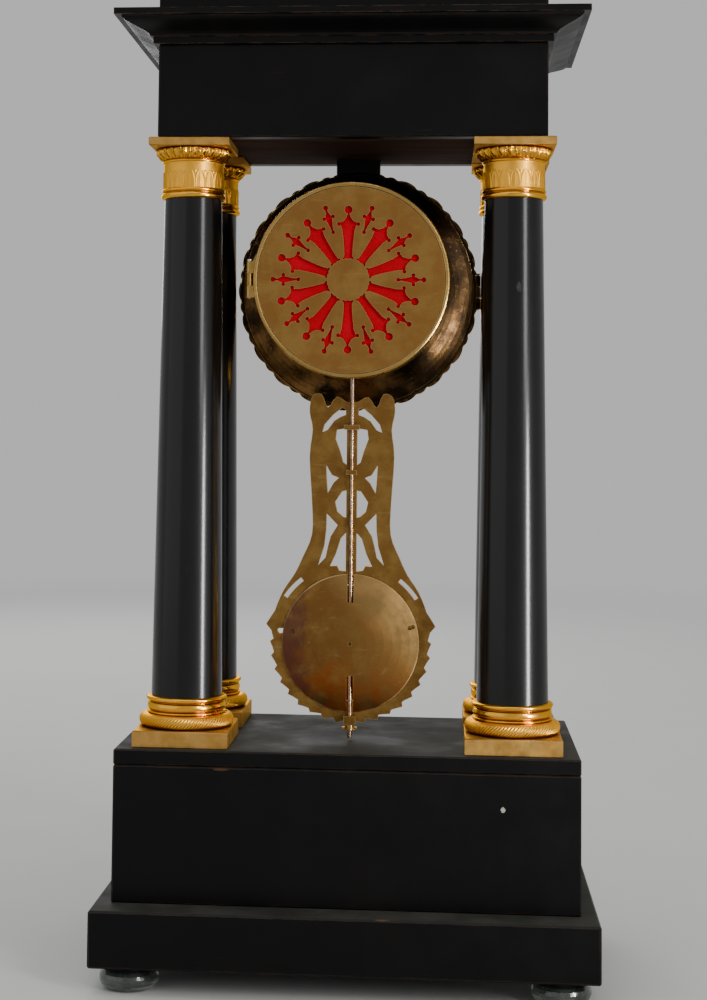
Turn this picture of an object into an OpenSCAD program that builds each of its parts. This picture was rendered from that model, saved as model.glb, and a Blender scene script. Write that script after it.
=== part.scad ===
// Four-column portico table clock with a round drum movement.
// Millimetres. +Z is up, +Y is the rear with the opening door, -Y is the dial side.
// The origin is on the table, under the middle of the clock.

/* [Feet and plinth] */
// Height of the bun feet
foot_h = 13; // [10:0.5:18]
// Widest diameter of a bun foot
foot_d = 30; // [24:1:34]
// Distance of a foot's centre from the plinth's edges
foot_inset = 18.3; // [17:0.1:26]
// Height of the plinth board
plinth_h = 28; // [20:1:40]
// Plinth showing beyond the base at the two ends
plinth_ledge_x = 8.5; // [4:0.5:16]
// Plinth showing beyond the base at front and rear
plinth_ledge_y = 17; // [4:0.5:20]

/* [Base box] */
// Height of the base box with its deck
base_h = 76; // [60:1:100]
// Thickness of the case boards
board_t = 9; // [6:0.5:12]
// Thickness of the deck board under the columns
deck_t = 8; // [6:0.5:12]
// Deck showing beyond the column feet at the two ends
deck_margin_x = 8.75; // [3:0.25:16]
// Deck showing beyond the column feet at front and rear
deck_margin_y = 3.75; // [2:0.25:10]
// Bevel on the edges of the case boards
board_bevel = 0.7; // [0.3:0.1:1.5]

/* [Columns] */
// Distance between the left and right column axes
column_pitch_x = 167; // [150:1:190]
// Distance between the front and rear column axes
column_pitch_y = 68; // [64:1:90]
// Width of the square block under a column
plinth_block_w = 48.5; // [44:0.5:56]
// Height of the square block
plinth_block_h = 8.5; // [6:0.5:12]
// Height of the turned base above its block
turned_base_h = 15.5; // [12:0.5:20]
// Shaft radius at the bottom
shaft_r_low = 18.2; // [16:0.1:20]
// Shaft radius at the top
shaft_r_top = 15; // [13:0.1:16]
// Visible length of a shaft
shaft_h = 256; // [220:1:300]
// Depth that a shaft sinks into its base and capital
shaft_seat = 2; // [1:0.5:4]
// Height of the turned part of a capital
capital_h = 26.2; // [22:0.1:32]
// Width of the square abacus
abacus_w = 41.7; // [38:0.1:48]
// Thickness of the abacus
abacus_t = 4.4; // [3:0.1:7]
// Lobes round the top of a capital
gadroon_count = 24; // [16:2:32]
// Radius of the iron tie rod in each column
tie_rod_r = 2.5; // [2:0.1:3.5]

/* [Frieze and cornice] */
// Frieze beyond the column axes at the two ends
frieze_out_x = 16.5; // [12:0.5:20]
// Frieze beyond the column axes at front and rear
frieze_out_y = 19; // [17:0.5:24]
// Height of the frieze
frieze_h = 48.2; // [36:0.1:60]
// Thickness of the soffit board
soffit_t = 8; // [6:0.5:12]
// Height of the cornice moulding
cornice_h = 15; // [10:0.5:20]
// Overhang of the cornice
cornice_out = 20.2; // [12:0.1:26]
// Height of the attic block
attic_h = 20.3; // [12:0.1:40]

/* [Clock head] */
// Wall of the drum
drum_wall = 1.2; // [0.8:0.1:2]
// Space between the movement plates' edge and the drum
drum_gap = 3.3; // [2.6:0.1:5]
// Rear door rim beyond the drum
door_overlap = 3.5; // [2.5:0.1:6]
// Large cut-outs in the rear door, with as many small ones between
fret_count = 10; // [6:1:10]
// How far the cut-outs sit off the door's centre, towards its hinge
fret_shift = 1.5; // [0:0.1:2]
// Clearance from the bezel's leaf tips to the column shafts
bezel_gap = 0.9; // [0.6:0.1:3]
// Clearance from the bezel's leaf tips to the soffit
soffit_gap = 5.5; // [3:0.5:10]
// Leaves round the edge of the bezel, broad and narrow in turn
leaf_count = 44; // [24:2:56]
// How far the dished plate's rim stands inside the leaf tips
dish_inset = 2.2; // [1.6:0.1:5]
// Radius of the hinge pins
hinge_pin_r = 0.8; // [0.6:0.05:1]
// Running clearance round pins and pivots
run_gap = 0.05; // [0.02:0.01:0.09]

/* [Movement] */
// Thickness of the movement plates
plate_t = 2; // [1.5:0.1:3]
// Space between the movement plates
plate_space = 32; // [31:0.5:40]
// Brass left round the barrels at the plates' edge
plate_rim = 1.9; // [1.5:0.1:3]
// Module of the barrel teeth
barrel_m = 0.4; // [0.36:0.01:0.44]
// Module of the intermediate wheel
inter_m = 0.33; // [0.3:0.01:0.36]
// Module of the motion work
motion_m = 0.45; // [0.4:0.01:0.5]
// Clear space between the two barrels
barrel_gap = 2.8; // [2.2:0.1:4]
// Depth of the barrel arbors below the centre
barrel_drop = 15; // [13:0.5:17]
// Radius of the wheel arbors
arbor_r = 0.65; // [0.5:0.05:0.75]
// Clearance between a wheel's teeth and the arbors it passes
wheel_gap = 0.5; // [0.4:0.1:1]
// Thickness of the wheels
wheel_t = 1.2; // [0.8:0.1:1.5]
// Length of the hour hand
hour_len = 25; // [20:1:30]
// Length of the minute hand
minute_len = 37; // [32:1:41]

/* [Pendulum] */
// Height of the bob's centre above the deck
bob_lift = 50; // [46:1:60]
// Radius of the bob
bob_r = 35.8; // [32:0.2:38]
// Width of the frame band round the bob
ring_band = 5.6; // [4:0.1:8]
// Clear height between the drum and the top of the frame
frame_gap = 11; // [6:0.5:20]
// Half the width of the frame's neck
neck_half = 20.8; // [17:0.1:24]
// Thickness of the frame
frame_t = 2.8; // [2:0.1:4]
// Radius of the pendulum rod
rod_r = 1.1; // [0.9:0.05:1.3]
// Leaf tips on each side of the frame's ring
tip_count = 9; // [5:1:12]

/* [Hidden] */
$fn = 64;

ebony = [0.03, 0.03, 0.035];
gilt = [0.85, 0.6, 0.18];
brass = [0.7, 0.55, 0.25];
steel = [0.5, 0.5, 0.52];

// Small clearances and over-lengths that cuts use
cut = 1;
part_gap = 0.3;
hair = 0.05;

// Heights of the case, from the table up
plinth_z = foot_h;
base_z = plinth_z + plinth_h;
deck_z = base_z + base_h;
shaft_z = deck_z + plinth_block_h + turned_base_h;
capital_z = shaft_z + shaft_h;
abacus_z = capital_z + capital_h;
soffit_z = abacus_z + abacus_t;
cornice_z = soffit_z + frieze_h;
attic_z = cornice_z + cornice_h;

// Widths and depths of the case
base_w = column_pitch_x + plinth_block_w + 2 * deck_margin_x;
base_d = column_pitch_y + plinth_block_w + 2 * deck_margin_y;
plinth_w = base_w + 2 * plinth_ledge_x;
plinth_d = base_d + 2 * plinth_ledge_y;
frieze_w = column_pitch_x + 2 * frieze_out_x;
frieze_d = column_pitch_y + 2 * frieze_out_y;
tie_bore_r = tie_rod_r + part_gap;
washer_t = 1.2;
washer_r = tie_rod_r + 4.5;
nut_h = 4;
nut_r = tie_rod_r + 2.8;
dowel_r = 3;
dowel_h = 10;

// Gear train, seen from the dial with x to the right and z up from the centre arbor
barrel_teeth = 84;
inter_leaves = 12;
inter_teeth = 72;
centre_leaves = 12;
centre_teeth = 84;
third_leaves = 7;
third_teeth = 78;
escape_leaves = 7;
escape_teeth = 30;
cannon_teeth = 10;
minute_teeth = 30;
minute_leaves = 8;
hour_teeth = 32;
addendum = 0.9;
dedendum = 1.25;
centre_r = 1.2;
cannon_r = 1.6;
winder_r = 2;
square_w = 2.6;
pivot_r = 0.5;
barrel_r = barrel_m * barrel_teeth / 2;
barrel_tip = barrel_r + addendum * barrel_m;
barrel_x = barrel_tip + barrel_gap / 2;
barrel_at = [barrel_x, -barrel_drop];
strike_at = [-barrel_x, -barrel_drop];
inter_dist = inter_m * (inter_teeth + centre_leaves) / 2;
barrel_dist = barrel_m * (barrel_teeth + inter_leaves) / 2;
inter_at = meet([0, 0], inter_dist, barrel_at, barrel_dist, 1);
centre_m = (inter_dist - arbor_r - wheel_gap) / (centre_teeth / 2 + addendum);
third_dist = centre_m * (centre_teeth + third_leaves) / 2;
third_at = polar(third_dist, 137);
third_m = (third_dist - centre_r - wheel_gap) / (third_teeth / 2 + addendum);
escape_dist = third_m * (third_teeth + escape_leaves) / 2;
escape_at = [0, third_at[1] + sqrt(escape_dist * escape_dist - third_at[0] * third_at[0])];
escape_r = escape_dist - arbor_r - 2 * wheel_gap;
anchor_drop = 1.6 * escape_r;
anchor_at = [0, escape_at[1] + anchor_drop];
motion_dist = motion_m * (cannon_teeth + minute_teeth) / 2;
minute_at = [0, -motion_dist];
hour_m = 2 * motion_dist / (minute_leaves + hour_teeth);
plate_r = norm(barrel_at) + barrel_tip + plate_rim;
hammer_at = polar(plate_r - 4.5, 171);
hammer_reach = 18;
pillar_angles = [35, 145, 250, 290];
pillar_r = 2.2;
dial_feet = [62, 200, 340];
dial_feet_r = plate_r * 0.8;

// Radii of the clock head
drum_r = plate_r + drum_gap + drum_wall;
door_r = drum_r + door_overlap;
shaft_r_head = shaft_r_top + 0.17 * (shaft_r_low - shaft_r_top);
leaf_tip_r = column_pitch_x / 2 - shaft_r_head - bezel_gap;
dish_r = leaf_tip_r - dish_inset;
bead_r = 0.8;
head_z = soffit_z - leaf_tip_r - soffit_gap;
swing_z = head_z + anchor_at[1];

// Positions from the dial to the rear, along y
front_y = -20;
back_y = front_y + plate_space;
plate_front = front_y - plate_t;
plate_back = back_y + plate_t;
motion_y = plate_front - 2.8;
hour_y = motion_y - 2.4;
dial_t = 0.9;
dial_y = hour_y - 9.2;
drum_y = dial_y + 5;
hour_hand_y = dial_y - 1.9;
minute_hand_y = hour_hand_y - 1.6;
hand_t = 0.7;
bezel_y = dial_y - 0.8;
glass_y = minute_hand_y - 2.2;
glass_t = 1.2;
pend_y = plate_back + 6;
bell_y = pend_y + 4;
bell_h = 12;
bell_r = drum_r - 14.5;
bell_t = 1.6;
rear_y = bell_y + bell_h;
ring_t = 4;
door_y = rear_y + ring_t + part_gap;
door_t = 3.7;
barrel_y0 = front_y + 5.5;
barrel_y1 = back_y - 7;
barrel_face = 1.5;
centre_wheel_y = front_y + 1.5;
third_wheel_y = barrel_y1 + 1.1;
inter_wheel_y = third_wheel_y + wheel_t + 1.4;
escape_wheel_y = (barrel_y0 + barrel_y1) / 2;
pivot_gap = 0.2;

// Hinges: the door turns at the +X side and the bezel at the -X side
knuckle_r = hinge_pin_r + 0.9;
knuckle_h = 6;
door_hinge = [door_r + knuckle_r + 0.2, door_y + 0.7];
bezel_hinge = [-(dish_r + bead_r + 0.7), bezel_y - 4.7];

// Pendulum
bob_z = deck_z + bob_lift;
frame_y = pend_y - rod_r - 0.5 - frame_t;
frame_top_z = head_z - drum_r - frame_gap;
ring_r = bob_r + ring_band;
neck_z = bob_z + ring_r * 0.86;
neck_h = frame_top_z - neck_z;
ring_hole_r = bob_r - 5.8;
rod_end_z = deck_z + 1.2;
nut_z = bob_z - ring_r - 1;
slot_half = rod_r + 0.55;

// Points and outlines that several parts share
function polar(r, a) = [r * cos(a), r * sin(a)];
function arc(c, r, a0, a1, n) = [for (i = [0:n]) c + polar(r, a0 + (a1 - a0) * i / n)];
function mirrored(p) = concat(p, [for (i = [len(p) - 1:-1:0]) [-p[i][0], p[i][1]]]);
function angle_of(p) = atan2(p[1], p[0]);

// Where two circles meet, on the left of the line from p to q for side 1
function meet(p, rp, q, rq, side) =
    let (d = norm(q - p), along = (rp * rp - rq * rq + d * d) / (2 * d),
         off = sqrt(rp * rp - along * along), u = (q - p) / d)
    p + along * u + side * off * [-u[1], u[0]];

// A smooth closed curve through p, with n pieces from one point to the next
function curve_point(a, b, c, d, t) =
    0.5 * (2 * b + (c - a) * t + (2 * a - 5 * b + 4 * c - d) * t * t
           + (3 * b - 3 * c + d - a) * t * t * t);
function smooth(p, n) =
    let (k = len(p))
    [for (i = [0:k - 1]) for (j = [0:n - 1])
        curve_point(p[(i + k - 1) % k], p[i], p[(i + 1) % k], p[(i + 2) % k], j / n)];

// Turn of the driven gear that puts its gap on the driver's tooth
function mesh_turn(from, to, n_from, turn_from, n_to) =
    let (a = angle_of(to - from), f = (a - turn_from) * n_from / 360)
    a + 180 + (f + 0.5) * 360 / n_to;

// A board with all its edges bevelled, standing on z = 0
module board(w, d, h, bevel = board_bevel) {
    intersection() {
        linear_extrude(h) bevelled(w, d, bevel);
        translate([0, d / 2, h / 2]) rotate([90, 0, 0]) linear_extrude(d) bevelled(w, h, bevel);
        translate([-w / 2, 0, h / 2]) rotate([90, 0, 90]) linear_extrude(w) bevelled(d, h, bevel);
    }
}

module bevelled(w, h, b) {
    x = w / 2;
    y = h / 2;
    polygon([[x, y - b], [x - b, y], [b - x, y], [-x, y - b],
             [-x, b - y], [b - x, -y], [x - b, -y], [x, b - y]]);
}

// A flat part of the head: a drawing in x and z, from y to y + t
module flat(y, t) {
    translate([0, y + t, 0]) rotate([90, 0, 0]) linear_extrude(t) children();
}

// A part of the head turned about an axis along y, from a profile of [radius, y]
module turned(profile, at = [0, 0]) {
    translate([at[0], 0, head_z + at[1]]) rotate([-90, 0, 0]) rotate_extrude() polygon(profile);
}

// A round bar along y at a point of the head
module bar(at, r, y0, y1) {
    translate([at[0], y0, head_z + at[1]]) rotate([-90, 0, 0]) cylinder(h = y1 - y0, r = r);
}

// Toothed disc in the head's plane; share is the tooth's part of the pitch
module gear(at, n, m, turn, y, t, share = 0.44) {
    tip = m * (n / 2 + addendum);
    root = m * (n / 2 - dedendum);
    flat(y, t) translate([at[0], head_z + at[1]]) rotate(turn)
        polygon([for (i = [0:n - 1]) for (k = [-1, 1])
            for (p = k < 0 ? [0, 1] : [1, 0])
                polar(p == 0 ? root : tip,
                      (i + k * share * (p == 0 ? 0.62 : 0.2)) * 360 / n)]);
}

// Spokes and rim left when a wheel is crossed out
module crossing(at, hub, rim, spokes, spoke_w, y, t) {
    flat(y - cut, t + 2 * cut) translate([at[0], head_z + at[1]]) difference() {
        circle(r = rim);
        circle(r = hub);
        for (i = [0:spokes - 1]) rotate(i * 360 / spokes)
            translate([0, -spoke_w / 2]) square([rim + cut, spoke_w]);
    }
}

// Arbor with a thinner pivot at each plate
module arbor(at, r = arbor_r) {
    bar(at, r, front_y + pivot_gap, back_y - pivot_gap);
    bar(at, pivot_r, plate_front + hair, plate_back - hair);
}

// Feet, plinth and base box

module bun_feet() {
    r = foot_d / 2;
    color([0.35, 0.4, 0.38])
    for (sx = [-1, 1]) for (sy = [-1, 1])
        translate([sx * (plinth_w / 2 - foot_inset), sy * (plinth_d / 2 - foot_inset), 0]) {
            rotate_extrude() polygon(concat(
                [[0, 0], [r * 0.6, 0]],
                arc([r - foot_h * 0.38, foot_h * 0.42], foot_h * 0.38, -70, 75, 7),
                [[r * 0.66, foot_h * 0.86], [r * 0.66, foot_h], [0, foot_h]]));
            translate([0, 0, foot_h - hair]) cylinder(h = dowel_h + hair, r = dowel_r);
        }
}

module bottom_plinth() {
    color(ebony) difference() {
        translate([0, 0, plinth_z]) board(plinth_w, plinth_d, plinth_h, board_bevel * 1.4);
        for (sx = [-1, 1]) for (sy = [-1, 1])
            translate([sx * (plinth_w / 2 - foot_inset), sy * (plinth_d / 2 - foot_inset),
                       plinth_z - cut])
                cylinder(h = dowel_h + cut + 0.5, r = dowel_r + run_gap);
    }
}

module base_long_boards() {
    color(ebony) for (s = [-1, 1])
        translate([0, s * (base_d - board_t) / 2, base_z]) board(base_w, board_t, base_h - deck_t);
}

module base_side_boards() {
    color(ebony) for (s = [-1, 1])
        translate([s * (base_w - board_t) / 2, 0, base_z])
            board(board_t, base_d - 2 * board_t, base_h - deck_t, board_bevel / 2);
}

module base_deck() {
    color(ebony) difference() {
        translate([0, 0, deck_z - deck_t]) board(base_w, base_d, deck_t);
        at_columns() translate([0, 0, deck_z - deck_t - cut])
            cylinder(h = deck_t + 2 * cut, r = tie_bore_r);
    }
}

// Columns: each has a gilt base, an ebonised shaft and a gilt capital on an iron rod

module at_columns() {
    for (sx = [-1, 1]) for (sy = [-1, 1])
        translate([sx * column_pitch_x / 2, sy * column_pitch_y / 2, 0]) children();
}

module column_base(sx, sy) {
    torus_h = turned_base_h * 0.44;
    lip_r = 1.1;
    lip_out = shaft_r_low + 2.5;
    torus_out = plinth_block_w / 2;
    z1 = plinth_block_h + torus_h;
    top = plinth_block_h + turned_base_h;
    color(gilt) translate([sx * column_pitch_x / 2, sy * column_pitch_y / 2, deck_z])
        difference() {
            union() {
                board(plinth_block_w, plinth_block_w, plinth_block_h, 0.4);
                rotate_extrude() polygon(concat(
                    [[0, plinth_block_h - hair]],
                    arc([torus_out - torus_h / 2, plinth_block_h + torus_h / 2],
                        torus_h / 2, -88, 80, 9),
                    [[shaft_r_low + 1.9, z1], [shaft_r_low + 1.8, z1 + 0.9],
                     [shaft_r_low + 1.25, z1 + 1.6], [shaft_r_low + 1, z1 + 2.8],
                     [shaft_r_low + 1.2, z1 + 4], [shaft_r_low + 1.8, top - 3],
                     [shaft_r_low + 1.8, top - 2.2]],
                    arc([lip_out - lip_r, top - lip_r], lip_r, -70, 90, 6),
                    [[0, top]]));
            }
            translate([0, 0, -cut]) cylinder(h = top + 2 * cut, r = tie_bore_r);
            translate([0, 0, top - shaft_seat])
                cylinder(h = shaft_seat + cut, r = shaft_r_low + run_gap);
        }
}

module column_shaft(sx, sy) {
    color(ebony) translate([sx * column_pitch_x / 2, sy * column_pitch_y / 2, shaft_z])
        difference() {
            union() {
                translate([0, 0, -shaft_seat]) cylinder(h = shaft_seat, r = shaft_r_low);
                cylinder(h = shaft_h, r1 = shaft_r_low, r2 = shaft_r_top);
                translate([0, 0, shaft_h]) cylinder(h = shaft_seat, r = shaft_r_top);
            }
            translate([0, 0, -shaft_seat - cut])
                cylinder(h = shaft_h + 2 * (shaft_seat + cut), r = tie_bore_r);
        }
}

module column_capital(sx, sy) {
    neck_r = shaft_r_top + 0.7;
    echinus_h = 6.1;
    bead_z = 4.4;
    echinus_z = capital_h - echinus_h;
    lobe_r = 2.35;
    crown_r = abacus_w / 2 - 1;
    color(gilt) translate([sx * column_pitch_x / 2, sy * column_pitch_y / 2, capital_z])
        difference() {
            union() {
                rotate_extrude() polygon(concat(
                    [[0, 0]], arc([neck_r - 0.4, 1.6], 1.6, -86, 86, 7),
                    [[neck_r - 0.3, 3.3]], arc([neck_r, bead_z], 0.9, -80, 80, 5),
                    [[neck_r, bead_z + 1.2], [neck_r, echinus_z - 1.2],
                     [neck_r + 0.7, echinus_z - 0.8], [neck_r + 0.7, echinus_z],
                     [neck_r - 0.4, echinus_z + hair], [neck_r - 0.4, capital_h],
                     [0, capital_h]]));
                intersection() {
                    translate([0, 0, echinus_z]) rotate_extrude() polygon(concat(
                        [[0, 0], [neck_r + 0.3, 0]],
                        arc([neck_r + 0.3, echinus_h * 0.8], crown_r - neck_r - 0.3, -55, 5, 4),
                        [[crown_r - 0.6, echinus_h], [0, echinus_h]]));
                    translate([0, 0, echinus_z]) linear_extrude(echinus_h) union() {
                        circle(r = crown_r - lobe_r * 0.8);
                        for (i = [0:gadroon_count - 1]) rotate(i * 360 / gadroon_count)
                            translate([crown_r - lobe_r, 0]) circle(r = lobe_r, $fn = 24);
                    }
                }
                translate([0, 0, capital_h]) board(abacus_w, abacus_w, abacus_t, 0.4);
            }
            translate([0, 0, -cut]) cylinder(h = capital_h + abacus_t + 2 * cut, r = tie_bore_r);
            translate([0, 0, -cut]) cylinder(h = shaft_seat + cut, r = shaft_r_top + run_gap);
        }
}

module tie_rods() {
    z0 = deck_z - deck_t - washer_t - nut_h - 2;
    z1 = soffit_z + soffit_t + washer_t + nut_h + 2;
    color(steel) at_columns() translate([0, 0, z0]) cylinder(h = z1 - z0, r = tie_rod_r);
}

module tie_rod_nuts() {
    color(steel) at_columns() {
        translate([0, 0, deck_z - deck_t]) mirror([0, 0, 1]) tie_nut();
        translate([0, 0, soffit_z + soffit_t]) tie_nut();
    }
}

module tie_nut() {
    difference() {
        union() {
            cylinder(h = washer_t, r = washer_r);
            cylinder(h = washer_t + nut_h, r = nut_r, $fn = 6);
        }
        translate([0, 0, -cut]) cylinder(h = washer_t + nut_h + 2 * cut, r = tie_rod_r + run_gap);
    }
}

// Frieze, cornice and attic

module soffit_board() {
    color([0.2, 0.11, 0.06]) difference() {
        translate([0, 0, soffit_z])
            board(frieze_w - 2 * board_t, frieze_d - 2 * board_t, soffit_t, board_bevel / 2);
        at_columns() translate([0, 0, soffit_z - cut])
            cylinder(h = soffit_t + 2 * cut, r = tie_bore_r);
    }
}

module frieze_long_boards() {
    color(ebony) for (s = [-1, 1])
        translate([0, s * (frieze_d - board_t) / 2, soffit_z]) board(frieze_w, board_t, frieze_h);
}

module frieze_side_boards() {
    color(ebony) for (s = [-1, 1])
        translate([s * (frieze_w - board_t) / 2, 0, soffit_z])
            board(board_t, frieze_d - 2 * board_t, frieze_h, board_bevel / 2);
}

// Half outline of the cornice for a frieze half-width: fillet, cyma and top slab
function cornice_edge(half) =
    let (slab = cornice_h * 0.22, fillet = cornice_h * 0.25, rise = cornice_h - slab - fillet)
    concat([[half + 2.5, 0], [half + 2.5, fillet]],
           [for (i = [0:8]) [half + 4 + (cornice_out - 7.2) * (1 - cos(180 * i / 8)) / 2,
                             fillet + rise * i / 8]],
           [[half + cornice_out, fillet + rise], [half + cornice_out, cornice_h]]);

module cornice_moulding() {
    w = frieze_w + 2 * cornice_out;
    d = frieze_d + 2 * cornice_out;
    color(ebony) translate([0, 0, cornice_z]) intersection() {
        translate([0, d / 2, 0]) rotate([90, 0, 0]) linear_extrude(d)
            polygon(mirrored(cornice_edge(frieze_w / 2)));
        translate([-w / 2, 0, 0]) rotate([90, 0, 90]) linear_extrude(w)
            polygon(mirrored(cornice_edge(frieze_d / 2)));
    }
}

module attic_block() {
    color(ebony) translate([0, 0, attic_z]) board(frieze_w, frieze_d, attic_h);
}

// Clock head: bracket, drum, dished plate and rings

module head_bracket() {
    w = 24;
    color([0.12, 0.08, 0.05]) difference() {
        translate([-w / 2, dial_y - 0.5, head_z + dish_r - 2])
            cube([w, 10, soffit_z - head_z - dish_r + 2]);
        turned([[0, dial_y - 2], [dish_r + bead_r, dial_y - 2], [dish_r + bead_r, dial_y + 12],
                [0, dial_y + 12]]);
    }
}

module drum_case() {
    slot_w = 2 * (rod_r + 7.3);
    slot_d = 12;
    color(brass) difference() {
        turned([[drum_r - drum_wall, drum_y], [drum_r, drum_y], [drum_r, rear_y],
                [drum_r - drum_wall, rear_y]]);
        translate([-slot_w / 2, pend_y + 0.5 - slot_d / 2, head_z - drum_r - cut])
            cube([slot_w, slot_d, drum_r]);
    }
}

module dial_back_plate() {
    y0 = drum_y + 4.5;
    y1 = dial_y + 0.9;
    roll = 140;
    sweep = dish_r - bead_r - drum_r - 1.4;
    rise = y0 - 1.8 - y1;
    rear_side = [for (i = [0:6]) let (t = i / 6)
        [drum_r + 1.4 + sweep * t, y0 - 1.8 - rise * (1.45 * t - 0.45 * t * t)]];
    color(brass) difference() {
        union() {
            turned(concat(
                [[drum_r + run_gap, y0], [drum_r + 1.4, y0]], rear_side,
                arc([dish_r, y1 - 0.3], bead_r, roll, -roll, 8),
                [for (i = [6:-1:1]) rear_side[i] - [0, 1]],
                [[drum_r + run_gap, y0 - 3.4]]));
            translate([bezel_hinge[0] - hinge_pin_r - 0.1, bezel_hinge[1], head_z - knuckle_h / 2])
                cube([2 * hinge_pin_r + 0.2, y1 - bezel_hinge[1], knuckle_h]);
            hinge_tube(bezel_hinge, -knuckle_h / 2, knuckle_h);
        }
        hinge_bore(bezel_hinge);
    }
}

module hinge_tube(at, z, h) {
    translate([at[0], at[1], head_z + z]) cylinder(h = h, r = knuckle_r);
}

module hinge_bore(at) {
    translate([at[0], at[1], head_z - 4 * knuckle_h])
        cylinder(h = 8 * knuckle_h, r = hinge_pin_r + run_gap);
}

module hinge_pins() {
    pin_h = 3 * knuckle_h + 1.6;
    color(steel) for (at = [door_hinge, bezel_hinge])
        translate([at[0], at[1], head_z - pin_h / 2]) {
            cylinder(h = pin_h, r = hinge_pin_r);
            translate([0, 0, pin_h - hair]) cylinder(h = 0.8, r = hinge_pin_r + 0.6);
        }
}

module rear_ring() {
    color(brass) difference() {
        union() {
            turned([[drum_r - 3, rear_y], [drum_r + 1.6, rear_y], [drum_r + 2.3, rear_y + 0.7],
                    [drum_r + 2.3, rear_y + ring_t - 0.4], [drum_r + 1.9, rear_y + ring_t],
                    [drum_r - 3, rear_y + ring_t]]);
            translate([drum_r, rear_y + 1.5, head_z - knuckle_h / 2])
                cube([door_hinge[0] - drum_r, ring_t - 1.5, knuckle_h]);
            hinge_tube(door_hinge, -knuckle_h / 2, knuckle_h);
        }
        hinge_bore(door_hinge);
    }
}

module rear_door_ring() {
    gap = 0.3;
    taper_a = 28;
    lug_z = knuckle_h / 2 + gap;
    color(brass) difference() {
        union() {
            turned(concat(
                [[door_r - 4.6, door_y], [door_r - 0.5, door_y], [door_r, door_y + 0.5]],
                arc([door_r - 1.5, door_y + door_t - 1.5], 1.5, 0, 120, 5),
                [[door_r - 2.5, door_y + door_t - 0.9], [door_r - 2.5, door_y + 1.3],
                 [door_r - 4.6, door_y + 1.3]]));
            for (z = [lug_z, -lug_z - knuckle_h]) {
                translate([door_r - 2, door_y + 0.8, head_z + z])
                    cube([door_hinge[0] - door_r + 2, 1.8, knuckle_h]);
                hinge_tube(door_hinge, z, knuckle_h);
            }
            flat(door_y + 0.8, 1.8) translate([0, head_z])
                polygon([polar(door_r - 0.6, taper_a), [door_r - 1.6, lug_z],
                         [door_hinge[0] + 0.8, lug_z]]);
        }
        hinge_bore(door_hinge);
    }
}

// One large flame-shaped cut-out along +y, as shares of the door's radius
module flame() {
    r = door_r;
    half = [[0.002, 0.203], [0.008, 0.213], [0.049, 0.213], [0.042, 0.25], [0.043, 0.3],
            [0.046, 0.35], [0.053, 0.42], [0.062, 0.5], [0.08, 0.555], [0.095, 0.575],
            [0.05, 0.595], [0.024, 0.63], [0.012, 0.66], [0.012, 0.7]];
    polygon(mirrored([for (p = half) p * r]));
    for (s = [-1, 1]) {
        translate([s * 0.097, 0.564] * r) circle(r = 0.02 * r, $fn = 20);
        translate([s * 0.045, 0.218] * r) circle(r = 0.012 * r, $fn = 12);
    }
    translate([0, 0.71] * r) circle(r = 0.04 * r, $fn = 24);
}

// One small cross-shaped cut-out along +y
module small_cross() {
    r = door_r;
    half = [[0.008, 0.505], [0.014, 0.56], [0.03, 0.63], [0.034, 0.66], [0.024, 0.69],
            [0.011, 0.715], [0.011, 0.763]];
    polygon(mirrored([for (p = half) p * r]));
    translate([0, 0.505] * r) circle(r = 0.02 * r, $fn = 20);
    for (s = [-1, 1]) translate([s * 0.047, 0.658] * r) circle(r = 0.02 * r, $fn = 20);
    translate([0, 0.763] * r) circle(r = 0.026 * r, $fn = 20);
}

module rear_door_fret() {
    color(brass) difference() {
        flat(door_y + 2, 1.2) translate([0, head_z]) circle(r = door_r - 2.6);
        flat(door_y + 2 - cut, 1.2 + 2 * cut) translate([fret_shift, head_z])
            for (i = [0:fret_count - 1]) {
                rotate(i * 360 / fret_count) flame();
                rotate((i + 0.5) * 360 / fret_count) small_cross();
            }
    }
}

module rear_door_silk() {
    color([0.8, 0.03, 0.03])
    turned([[0, door_y + 1.35], [door_r - 2.8, door_y + 1.35], [door_r - 2.8, door_y + 1.95],
            [0, door_y + 1.95]]);
}

// Front bezel, glass, dial and hands

// Leaf i of the bezel's edge from t = -1 to 1: broad and narrow leaves take turns
broad_share = 0.62;
leaf_notch = 1.2;
leaf_step = 0.4;
function leaf_point(i, t) =
    let (broad = i % 2 == 0, half = 360 / leaf_count * (broad ? broad_share : 1 - broad_share),
         tip = leaf_tip_r - (broad ? 0 : leaf_step))
    polar(tip - leaf_notch * t * t, i * 360 / leaf_count + half * t);

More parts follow.
